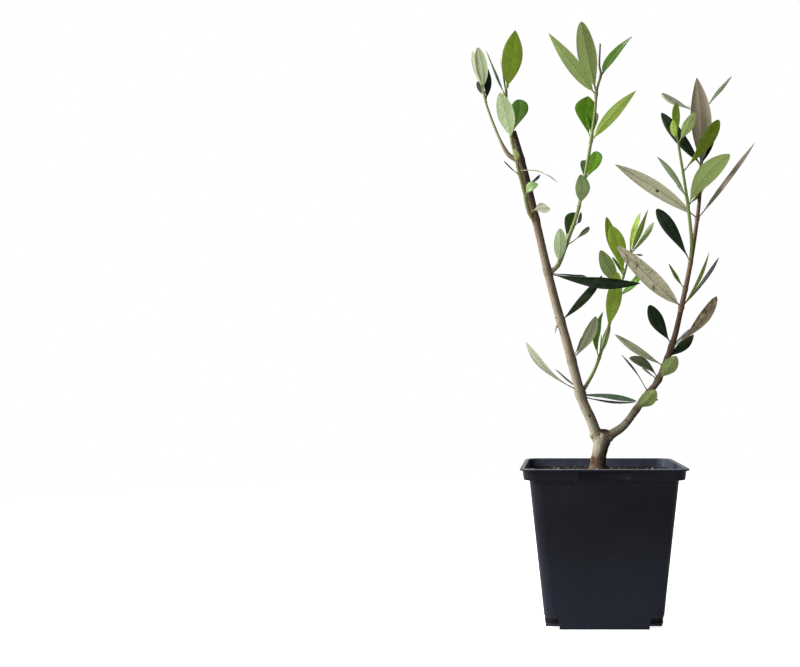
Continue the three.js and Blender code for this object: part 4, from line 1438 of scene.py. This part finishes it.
def build_shoot_stems(settings):
    """Green stems along their strands, thicker where leaves stand on them."""
    material = shoot_material(tuple(settings.shoot_colour), tuple(settings.young_bark_colour))
    inputs = [("Sides", "Int", 14), ("Stem material", "Material", material)]
    tree = TreeMaker("Shoot_stems", inputs)
    curve = tree.add("GeometryNodeMeshToCurve", Mesh=tree.value("Geometry")).outputs["Curve"]
    radius = tree.attribute("stem_radius")
    curve = tree.add("GeometryNodeSetCurveRadius", Curve=curve, Radius=radius).outputs["Curve"]
    ring = tree.add("GeometryNodeCurvePrimitiveCircle", Resolution=tree.value("Sides"), Radius=1.0)
    skin = tree.add("GeometryNodeCurveToMesh", Curve=curve, Profile_Curve=ring.outputs["Curve"])
    for socket in skin.inputs:
        if socket.name == "Scale":
            tree.feed(socket, radius)
        if socket.name == "Fill Caps":
            socket.default_value = True
    solid = tree.step("GeometryNodeRealizeInstances", skin.outputs["Mesh"])
    solid = tree.step("GeometryNodeSetShadeSmooth", solid)
    tree.finish(tree.paint(solid, tree.value("Stem material")))
    for name in SHOOTS:
        stations, rows, _, slot = SPRAYS[name]
        start = RIGHT_BOUGH_END - 1 if name == "right_crown" else 0
        points, radii, alongs = resampled(strand(stations), SHOOT_STEP, start)
        for along in {row[1] for row in rows}:
            swell = bell(alongs - along, JOINT_REACH) * (alongs < along + JOINT_END)
            radii = radii + JOINT_SWELL * swell
        source = bpy.data.meshes.new(name + "_line")
        edges = [(i, i + 1) for i in range(len(points) - 1)]
        source.from_pydata([tuple(p * MM) for p in points], edges, [])
        layer_on(source, "stem_radius", radii * MM)
        share = (alongs - start) / (alongs[-1] - start)
        layer_on(source, "wood", np.interp(share, *WOODINESS[name]))
        place(name + "_stem", tree.grow(name + "_stem", source), slot, name)


# Leaves.


def heading(aim, swing):
    """The way a leaf points from its root."""
    a, s = math.radians(aim), math.radians(swing)
    return Vector((math.cos(a) * math.cos(s), math.sin(s), math.sin(a) * math.cos(s)))


def partner_of(line, row, number):
    """The row of the leaf that the rule grows at the back of this one."""
    tone, along, aim, swing, turn, length, width = row[:7]
    face = width * abs(math.cos(math.radians(turn)))
    if swing > PARTNER_MOST_SWING or face < PARTNER_LEAST_FACE:
        return None
    if length < PARTNER_LEAST_LENGTH or draw(number, 2) > PARTNER_CHANCE:
        return None
    side = -1 if draw(number, 3) < 0.5 else 1
    back = (Vector(strand_at(line, along)[0]) - EYE).normalized()
    seen = heading(aim + draw_from(PARTNER_AIM, number, 4), swing)
    seen = (seen - back * seen.dot(back)).normalized()
    away = math.radians(draw_from(PARTNER_SWING, number, 5))
    ahead = seen * math.cos(away) + back * math.sin(away)
    aim, swing = math.degrees(math.atan2(ahead.z, ahead.x)), math.degrees(math.asin(ahead.y))
    _, to_right, to_viewer, _, _ = leaf_axes(aim, swing, 0)
    flat = math.degrees(math.atan2(-back.dot(to_right), -back.dot(to_viewer)))
    return (
        PARTNER_TONES.get(tone, tone),
        along,
        aim,
        swing,
        flat + side * draw_from(PARTNER_TURN, number, 6),
        min(length * draw_from(PARTNER_SHARE, number, 7), PARTNER_LONGEST),
        width * PARTNER_WIDTH_SHARE,
        0,
    )


LEAF_AXES = ("ahead", "to_right", "to_viewer", "across", "upper")


def leaf_axes(aim, swing, turn):
    """The directions of one leaf, in the order of their names."""
    t = math.radians(turn)
    ahead = heading(aim, swing)
    view = Vector((0, -1, 0))
    to_viewer = (view - ahead * view.dot(ahead)).normalized()
    to_right = ahead.cross(to_viewer)
    upper = to_viewer * math.cos(t) + to_right * math.sin(t)
    return ahead, to_right, to_viewer, ahead.cross(upper), upper


LEAF_RINGS = 30
LEAF_CROSSES = (-1, -0.95, -0.78, -0.52, -0.28, -0.1, 0, 0.1, 0.28, 0.52, 0.78, 0.95, 1)


def unit_leaf():
    """A flat closed blade: x across from -1 to 1, y along from 0 to 1."""
    even = np.linspace(0, 1, LEAF_RINGS)
    shares = 0.5 * even + 0.5 * (0.5 - 0.5 * np.cos(math.pi * even))
    upper = list(LEAF_CROSSES)
    lower = upper[-2:0:-1]
    crosses = upper + lower
    sides = [0] + [1] * (len(upper) - 2) + [0] + [-1] * len(lower)
    count = len(crosses)
    points = [(x, share, 0) for share in shares for x in crosses]
    faces, flags = [], []
    for r in range(len(shares) - 1):
        for k in range(count):
            a, b = r * count + k, r * count + (k + 1) % count
            faces.append((a, b, b + count, a + count))
            flags.append(k < len(upper) - 1)
    for base, outward in ((0, False), ((len(shares) - 1) * count, True)):
        for k in range(len(upper) - 1):
            low_a = base + (count - k) % count
            low_b = base + (count - k - 1)
            corners = [base + k, base + k + 1, low_b, low_a]
            if k == len(upper) - 2:
                corners = [base + k, base + k + 1, low_a]
            ring = list(dict.fromkeys(corners))
            faces.append(tuple(ring if outward else ring[::-1]))
            flags.append(True)
    mesh = mesh_from("unit_leaf", points, faces)
    rims = (0, len(upper) - 1)
    for edge in mesh.edges:
        places = [v % count for v in edge.vertices]
        edge.use_edge_sharp = places[0] == places[1] and places[0] in rims
    layer_on(mesh, "cross", crosses * len(shares))
    layer_on(mesh, "share", [share for share in shares for _ in crosses])
    layer_on(mesh, "side", sides * len(shares))
    layer_on(mesh, "upper_face", flags, "BOOLEAN", "FACE")
    return mesh


TWIST_START = 0.35
KEEL_POWER = 1.35
CURL_POWER = 5.0
TIP_FADE = 12.0
TIP_THICKNESS = 0.15
FINEST_RADIUS = 0.00005


def leaf_tree(unit, materials):
    """The tree that gives every leaf its own outline, curve, fold and twist."""
    inputs = [
        ("Base power", "Float", OUTLINE_FULLNESS),
        ("Petiole length", "Float", PETIOLE_LENGTH * MM),
        ("Petiole radius", "Float", 0.00052),
        ("Blade thickness", "Float", 0.00042),
        ("Rib height", "Float", 0.00042),
        ("Rib width", "Float", 0.00055),
        ("Groove depth", "Float", 0.00016),
    ]
    tree = TreeMaker("Olive_leaves", inputs)
    value, attribute, compute = tree.value, tree.attribute, tree.math
    plus, minus, times, over = tree.plus, tree.minus, tree.times, tree.over
    blank = tree.add("GeometryNodeObjectInfo", Object=unit).outputs["Geometry"]
    spread = tree.add("GeometryNodeInstanceOnPoints", Points=value("Geometry"), Instance=blank)
    solid = tree.step("GeometryNodeRealizeInstances", spread.outputs["Instances"])

    # s is the share of the leaf's length, from its root to its tip, and x runs
    # from -1 to 1 across it. The side is 1 on top, -1 below and 0 at the edge.
    s, x, side, length = (attribute(name) for name in ("share", "cross", "side", "length"))
    to_tip = minus(1.0, s)

    # The outline: half the width at each point, and how far the blade is open.
    petiole = over(value("Petiole length"), length)
    t = over(minus(s, petiole), minus(1.0, petiole))
    t = tree.least_of(tree.most_of(t, 0.0), 1.0)
    arc = times(compute("POWER", t, attribute("belly_power")), math.pi)
    swell = tree.most_of(compute("SINE", arc), 0.0)
    past_belly = compute("GREATER_THAN", arc, math.pi / 2)
    sharper = minus(attribute("tip_power"), value("Base power"))
    power = tree.times_plus(past_belly, sharper, value("Base power"))
    blade = times(attribute("half_width"), compute("POWER", swell, power))
    least = tree.times_plus(value("Petiole radius"), to_tip, FINEST_RADIUS)
    half = tree.most_of(blade, least)
    opened = over(minus(half, least), half)
    c = times(x, half)

    # The fold of the blade: a keel, rolled edges and a slow wave.
    wide = compute("ABSOLUTE", x)
    fold = times(attribute("keel"), compute("POWER", wide, KEEL_POWER))
    roll = times(attribute("curl"), compute("POWER", wide, CURL_POWER))
    phase = tree.times_plus(s, attribute("wave_count"), attribute("wave_start"))
    ripple = times(compute("SINE", phase), attribute("wave_size"))
    fold = plus(minus(fold, roll), times(ripple, x))
    lift = times(fold, half, opened)

    # Its thickness, the rib under it and the groove on top.
    round_off = compute("SQRT", tree.most_of(minus(1.0, times(x, x)), 0.0))
    thin = times(value("Blade thickness"), 0.5)
    stalk = minus(1.0, opened)
    thick = tree.times_plus(tree.most_of(minus(least, thin), 0.0), stalk, thin)
    tip_fade = tree.least_of(times(to_tip, TIP_FADE), 1.0)
    thick = times(thick, tree.times_plus(tip_fade, 1 - TIP_THICKNESS, TIP_THICKNESS))
    skin = times(thick, round_off, side)
    ratio = over(c, value("Rib width"))
    hump = times(compute("EXPONENT", times(ratio, ratio, -1.0)), opened)
    under, top = tree.most_of(times(side, -1.0), 0.0), tree.most_of(side, 0.0)
    rib = times(under, value("Rib height"), to_tip)
    groove = times(top, value("Groove depth"))
    z = minus(plus(lift, skin), times(plus(rib, groove), hump))

    # Its place: along, bowed, domed and twisted about its own line.
    angle = times(attribute("twist"), minus(s, TWIST_START))
    cosine, sine = compute("COSINE", angle), compute("SINE", angle)
    root = attribute("root", "FLOAT_VECTOR")
    ahead, to_right, to_viewer, across, upper = (
        attribute(name, "FLOAT_VECTOR") for name in LEAF_AXES
    )
    across_now = tree.vector("ADD", tree.scaled(across, cosine), tree.scaled(upper, sine))
    upper_now = tree.vector("SUBTRACT", tree.scaled(upper, cosine), tree.scaled(across, sine))
    sag = times(s, to_tip, 4.0, length)
    parts = [
        root,
        tree.scaled(ahead, times(s, length)),
        tree.scaled(to_right, times(attribute("bow"), sag)),
        tree.scaled(to_viewer, times(attribute("dome"), sag)),
        tree.scaled(across_now, c),
        tree.scaled(upper_now, z),
    ]
    solid = tree.store(solid, "rib_mm", over(c, MM))
    solid = tree.store(solid, "along_mm", over(times(s, length), MM))
    solid = tree.store(solid, "blade", over(blade, half))
    solid = tree.step("GeometryNodeSetPosition", solid, Position=tree.total(parts))
    solid = tree.step("GeometryNodeSetShadeSmooth", solid)
    number, upper_face = attribute("tone"), attribute("upper_face", "BOOLEAN")
    for index, tone in enumerate(LEAF_TONES):
        own = compute("COMPARE", number, float(index), 0.4)
        upper_material, under_material = materials[tone]
        solid = tree.paint(solid, under_material, own)
        solid = tree.paint(solid, upper_material, times(own, upper_face))
    tree.finish(solid)
    return tree


def leaf_points(name, line, leaves):
    """One point for each leaf, with everything that the tree needs to shape it."""
    vectors, numbers = [], []
    for row, number in leaves:
        tone, along, aim, swing, turn, length, width, bow = row[:8]
        belly = row[8] if len(row) > 8 else BELLY
        blunt = CUT_TIPS.get(number, BLUNT_TIP)
        axes = dict(zip(LEAF_AXES, leaf_axes(aim, swing, turn)))
        vectors.append({"root": strand_at(line, along)[0] * MM, **axes})
        shape = {
            "length": length * MM,
            "half_width": width / 2 * MM,
            "belly_power": math.log(0.5) / math.log(belly),
            "tip_power": POINTED_TIP if number in POINTED_LEAVES else blunt,
            "bow": bow,
            "dome": DOME,
            "curl": OLD_CURL if tone in OLD_TONES else YOUNG_CURL,
            "blemish": BLEMISHES.get(number, 0),
            "blot_at": BLOTS.get(number, NO_BLOT),
            "tone": float(list(LEAF_TONES).index(tone)),
        }
        for key, (low, high, salt) in LEAF_DRAWS.items():
            shape[key] = draw_from((low, high), number, salt)
        numbers.append(shape)
    mesh = bpy.data.meshes.new(name + "_points")
    mesh.from_pydata([tuple(leaf["root"]) for leaf in vectors], [], [])
    for key in vectors[0]:
        values = np.array([tuple(leaf[key]) for leaf in vectors]).ravel()
        layer_on(mesh, key, values, "FLOAT_VECTOR")
    for key in numbers[0]:
        layer_on(mesh, key, [leaf[key] for leaf in numbers])
    return mesh


# What shapes a leaf and isn't needed once it has grown.
LEFTOVER_ATTRIBUTES = (
    "root ahead to_right to_viewer across upper length half_width belly_power tip_power "
    "bow dome keel curl twist wave_size wave_count wave_start tone share cross side upper_face"
).split()


def build_leaves(settings):
    """Every spray's leaves and their partners, one piece for each spray."""
    materials = {
        tone: (
            upper_leaf_material(tone, tuple(getattr(settings, tone + "_upper"))),
            under_leaf_material(tone, tuple(getattr(settings, tone + "_under"))),
        )
        for tone in LEAF_TONES
    }
    unit = as_object("unit_leaf", unit_leaf())
    tree = leaf_tree(unit, materials)
    for name, (stations, rows, first, slot) in SPRAYS.items():
        line = strand(stations)
        leaves = [(row, first + i) for i, row in enumerate(rows)]
        partners = [(partner_of(line, row, i), i + PARTNER_NUMBER) for row, i in leaves]
        nodes = [name]
        if name.endswith("bough"):
            nodes = [f"{name}_leaf_{i + 1}" for i in range(len(rows))]
            nodes += [f"{n}_back" for n, (row, _) in zip(list(nodes), partners) if row]
        grown = leaves + [(row, number) for row, number in partners if row]
        mesh = tree.grow(name + "_leaves", leaf_points(name, line, grown))
        trim_materials(mesh)
        for key in LEFTOVER_ATTRIBUTES:
            if key in mesh.attributes:
                mesh.attributes.remove(mesh.attributes[key])
        place(name + "_leaves", mesh, slot, *nodes)
    bpy.data.objects.remove(unit)


# Stage.

# Lights: share of the key light's power, size and place, in metres.
LIGHTS = [
    ("Key", 1.0, 0.6, (-1.9, -0.1, 1.05)),
    ("Front fill", 0.44, 1.2, (-1.15, -1.7, 1.2)),
    ("Back", 0.2, 1.0, (-0.2, 1.6, 1.4)),
    ("Back fill", 0.06, 1.4, (0.9, 1.7, 1.0)),
]
LIGHTS_AIM = (0, 0, 0.25)
FLOOR_REACH = 1.35
FLOOR_SIDES = 96
CAMERA_SPOT = (-0.03406, -0.74, 0.178)


def build_floor(colour, glow):
    """A round pale floor that glows a little for the camera alone."""
    turns = [2 * math.pi * k / FLOOR_SIDES for k in range(FLOOR_SIDES)]
    rim = [(FLOOR_REACH * math.cos(a), FLOOR_REACH * math.sin(a), 0) for a in turns]
    floor = as_object("studio_floor", mesh_from("studio_floor", rim, [tuple(range(FLOOR_SIDES))]))
    white = (1, 1, 1, 1)
    paper = Painter("Studio_floor", colour, 0.8, Specular_IOR_Level=0.1, Emission_Color=white)
    seen = paper.add("ShaderNodeLightPath").outputs["Is Camera Ray"]
    paper.feed(paper.shader.inputs["Emission Strength"], paper.times(seen, glow))
    paper.bump(paper.noise(0.4, 3), 0.02, 0.3)
    floor.data.materials.append(paper.material)


def build_stage(settings):
    """The floor, soft lights, a white room and the camera."""
    build_floor(tuple(settings.floor_colour), settings.floor_glow)
    for name, share, size, spot in LIGHTS:
        light = bpy.data.lights.new(name, "AREA")
        light.energy = settings.key_power * share
        light.shape = "DISK"
        light.size = size
        lamp = as_object(name, light)
        lamp.location = spot
        aim = Vector(LIGHTS_AIM) - Vector(spot)
        lamp.rotation_euler = aim.to_track_quat("-Z", "Y").to_euler()
    world = bpy.data.worlds.new("Studio")
    world.use_nodes = True
    tree = world.node_tree
    background = tree.nodes["Background"]
    background.inputs["Color"].default_value = (1, 1, 1, 1)
    backdrop = tree.nodes.new("ShaderNodeMapRange")
    backdrop.inputs["To Min"].default_value = settings.room_light
    backdrop.inputs["To Max"].default_value = settings.backdrop
    seen = tree.nodes.new("ShaderNodeLightPath").outputs["Is Camera Ray"]
    tree.links.new(seen, backdrop.inputs["Value"])
    tree.links.new(backdrop.outputs["Result"], background.inputs["Strength"])
    scene = bpy.context.scene
    scene.world = world
    scene.view_settings.view_transform = "Standard"
    camera = bpy.data.cameras.new("Camera")
    camera.sensor_width = 36
    camera.lens = settings.lens
    camera.shift_x = settings.shift
    scene.camera = as_object("Camera", camera)
    scene.camera.location = CAMERA_SPOT
    scene.camera.rotation_euler = (math.radians(90) + settings.camera_pitch, 0, 0)


# Settings, operators and panel.


def colour_setting(name, description, display):
    """A colour that a user can change, from its display colour."""
    kind = {"subtype": "COLOR", "size": 3, "min": 0, "max": 1}
    text = {"name": name, "description": description}
    return bpy.props.FloatVectorProperty(default=linear(display), **text, **kind)


def number_setting(name, description, default, **more):
    """A number that a user can change."""
    text = {"name": name, "description": description}
    return bpy.props.FloatProperty(default=default, **text, **more)


class OlivePotSettings(bpy.types.PropertyGroup):
    plastic_colour: colour_setting("Plastic", "Colour of the pot's plastic", (16, 17, 21))
    soil_colour: colour_setting("Soil", "Colour of the potting soil", (36, 28, 23))


class OlivePlantSettings(bpy.types.PropertyGroup):
    bark_voxel: number_setting(
        "Bark detail", "Voxel size that fuses the trunk and boughs", 0.0007,
        subtype="DISTANCE", unit="LENGTH", min=0.0004, max=0.002, precision=5,
    )
    bark_colour: colour_setting("Old bark", "Colour of the trunk's bark", (152, 144, 124))
    young_bark_colour: colour_setting("Young bark", "Colour of young bark", (86, 61, 41))
    shoot_colour: colour_setting("Green shoots", "Colour of the green stems", (96, 112, 46))


for _tone, (_upper, _under) in LEAF_TONES.items():
    OlivePlantSettings.__annotations__[_tone + "_upper"] = colour_setting(
        f"{_tone.capitalize()} leaves, upper", f"Upper face of the {_tone} leaves", _upper
    )
    OlivePlantSettings.__annotations__[_tone + "_under"] = colour_setting(
        f"{_tone.capitalize()} leaves, under", f"Underside of the {_tone} leaves", _under
    )


class OliveStageSettings(bpy.types.PropertyGroup):
    floor_colour: colour_setting("Floor", "Colour of the studio floor", (232, 232, 232))
    floor_glow: number_setting("Floor glow", "Extra whiteness of the floor", 0.9, min=0)
    key_power: number_setting("Key light", "Power of the main light", 78, unit="POWER", min=0)
    room_light: number_setting("Room light", "Strength of the light from all round", 0.13, min=0)
    backdrop: number_setting("Backdrop", "Brightness of the white backdrop", 1.0, min=0)
    lens: number_setting("Lens", "Focal length", 39.33, subtype="DISTANCE_CAMERA", min=1)
    shift: number_setting("Shift", "Sideways shift of the picture", -0.201)
    camera_pitch: number_setting(
        "Pitch", "How far the camera looks up from level", math.radians(4.35),
        subtype="ANGLE", unit="ROTATION",
    )


SETTINGS = {
    "olive_pot": OlivePotSettings,
    "olive_plant": OlivePlantSettings,
    "olive_stage": OliveStageSettings,
}


class OLIVE_OT_pot(bpy.types.Operator):
    """Builds the square nursery pot"""

    bl_idname = "olive.pot"
    bl_label = "Nursery Pot"

    def execute(self, context):
        build_pot(context.scene.olive_pot)
        return {"FINISHED"}


class OLIVE_OT_soil(bpy.types.Operator):
    """Builds the soil's surface and scatters its crumbs"""

    bl_idname = "olive.soil"
    bl_label = "Soil"

    def execute(self, context):
        build_soil(context.scene.olive_pot)
        return {"FINISHED"}


class OLIVE_OT_bark(bpy.types.Operator):
    """Builds the trunk and the boughs with their bark"""

    bl_idname = "olive.bark"
    bl_label = "Trunk and Boughs"

    def execute(self, context):
        build_bark(context.scene.olive_plant)
        return {"FINISHED"}


class OLIVE_OT_shoots(bpy.types.Operator):
    """Grows the green stems of the shoots"""

    bl_idname = "olive.shoots"
    bl_label = "Shoots"

    def execute(self, context):
        build_shoot_stems(context.scene.olive_plant)
        return {"FINISHED"}


class OLIVE_OT_leaves(bpy.types.Operator):
    """Grows the leaves of every spray"""

    bl_idname = "olive.leaves"
    bl_label = "Leaves"

    def execute(self, context):
        build_leaves(context.scene.olive_plant)
        return {"FINISHED"}


class OLIVE_OT_stage(bpy.types.Operator):
    """Builds the floor, the lights and the camera"""

    bl_idname = "olive.stage"
    bl_label = "Stage"

    def execute(self, context):
        build_stage(context.scene.olive_stage)
        return {"FINISHED"}


OPERATORS = (
    OLIVE_OT_pot,
    OLIVE_OT_soil,
    OLIVE_OT_bark,
    OLIVE_OT_shoots,
    OLIVE_OT_leaves,
    OLIVE_OT_stage,
)


class OLIVE_PT_panel(bpy.types.Panel):
    """Lists the parts of the potted olive"""

    bl_idname = "OLIVE_PT_panel"
    bl_label = "Potted Olive"
    bl_space_type = "VIEW_3D"
    bl_region_type = "UI"
    bl_category = "Olive"

    def draw(self, context):
        for operator in OPERATORS:
            self.layout.operator(operator.bl_idname, text=operator.bl_label)
        for name, group in SETTINGS.items():
            for key in group.__annotations__:
                self.layout.prop(getattr(context.scene, name), key)


def register():
    """Registers the settings, the operators and the panel."""
    for group in SETTINGS.values():
        bpy.utils.register_class(group)
    for operator in OPERATORS:
        bpy.utils.register_class(operator)
    bpy.utils.register_class(OLIVE_PT_panel)
    for name, group in SETTINGS.items():
        setattr(bpy.types.Scene, name, bpy.props.PointerProperty(type=group))


def unregister():
    """Takes all of it out again."""
    for name in SETTINGS:
        delattr(bpy.types.Scene, name)
    bpy.utils.unregister_class(OLIVE_PT_panel)
    for operator in reversed(OPERATORS):
        bpy.utils.unregister_class(operator)
    for group in reversed(SETTINGS.values()):
        bpy.utils.unregister_class(group)


def main():
    """Builds the whole potted olive."""
    register()
    bpy.ops.olive.pot()
    bpy.ops.olive.soil()
    bpy.ops.olive.bark()
    bpy.ops.olive.shoots()
    bpy.ops.olive.leaves()
    bpy.ops.olive.stage()


if __name__ == "__main__":
    main()
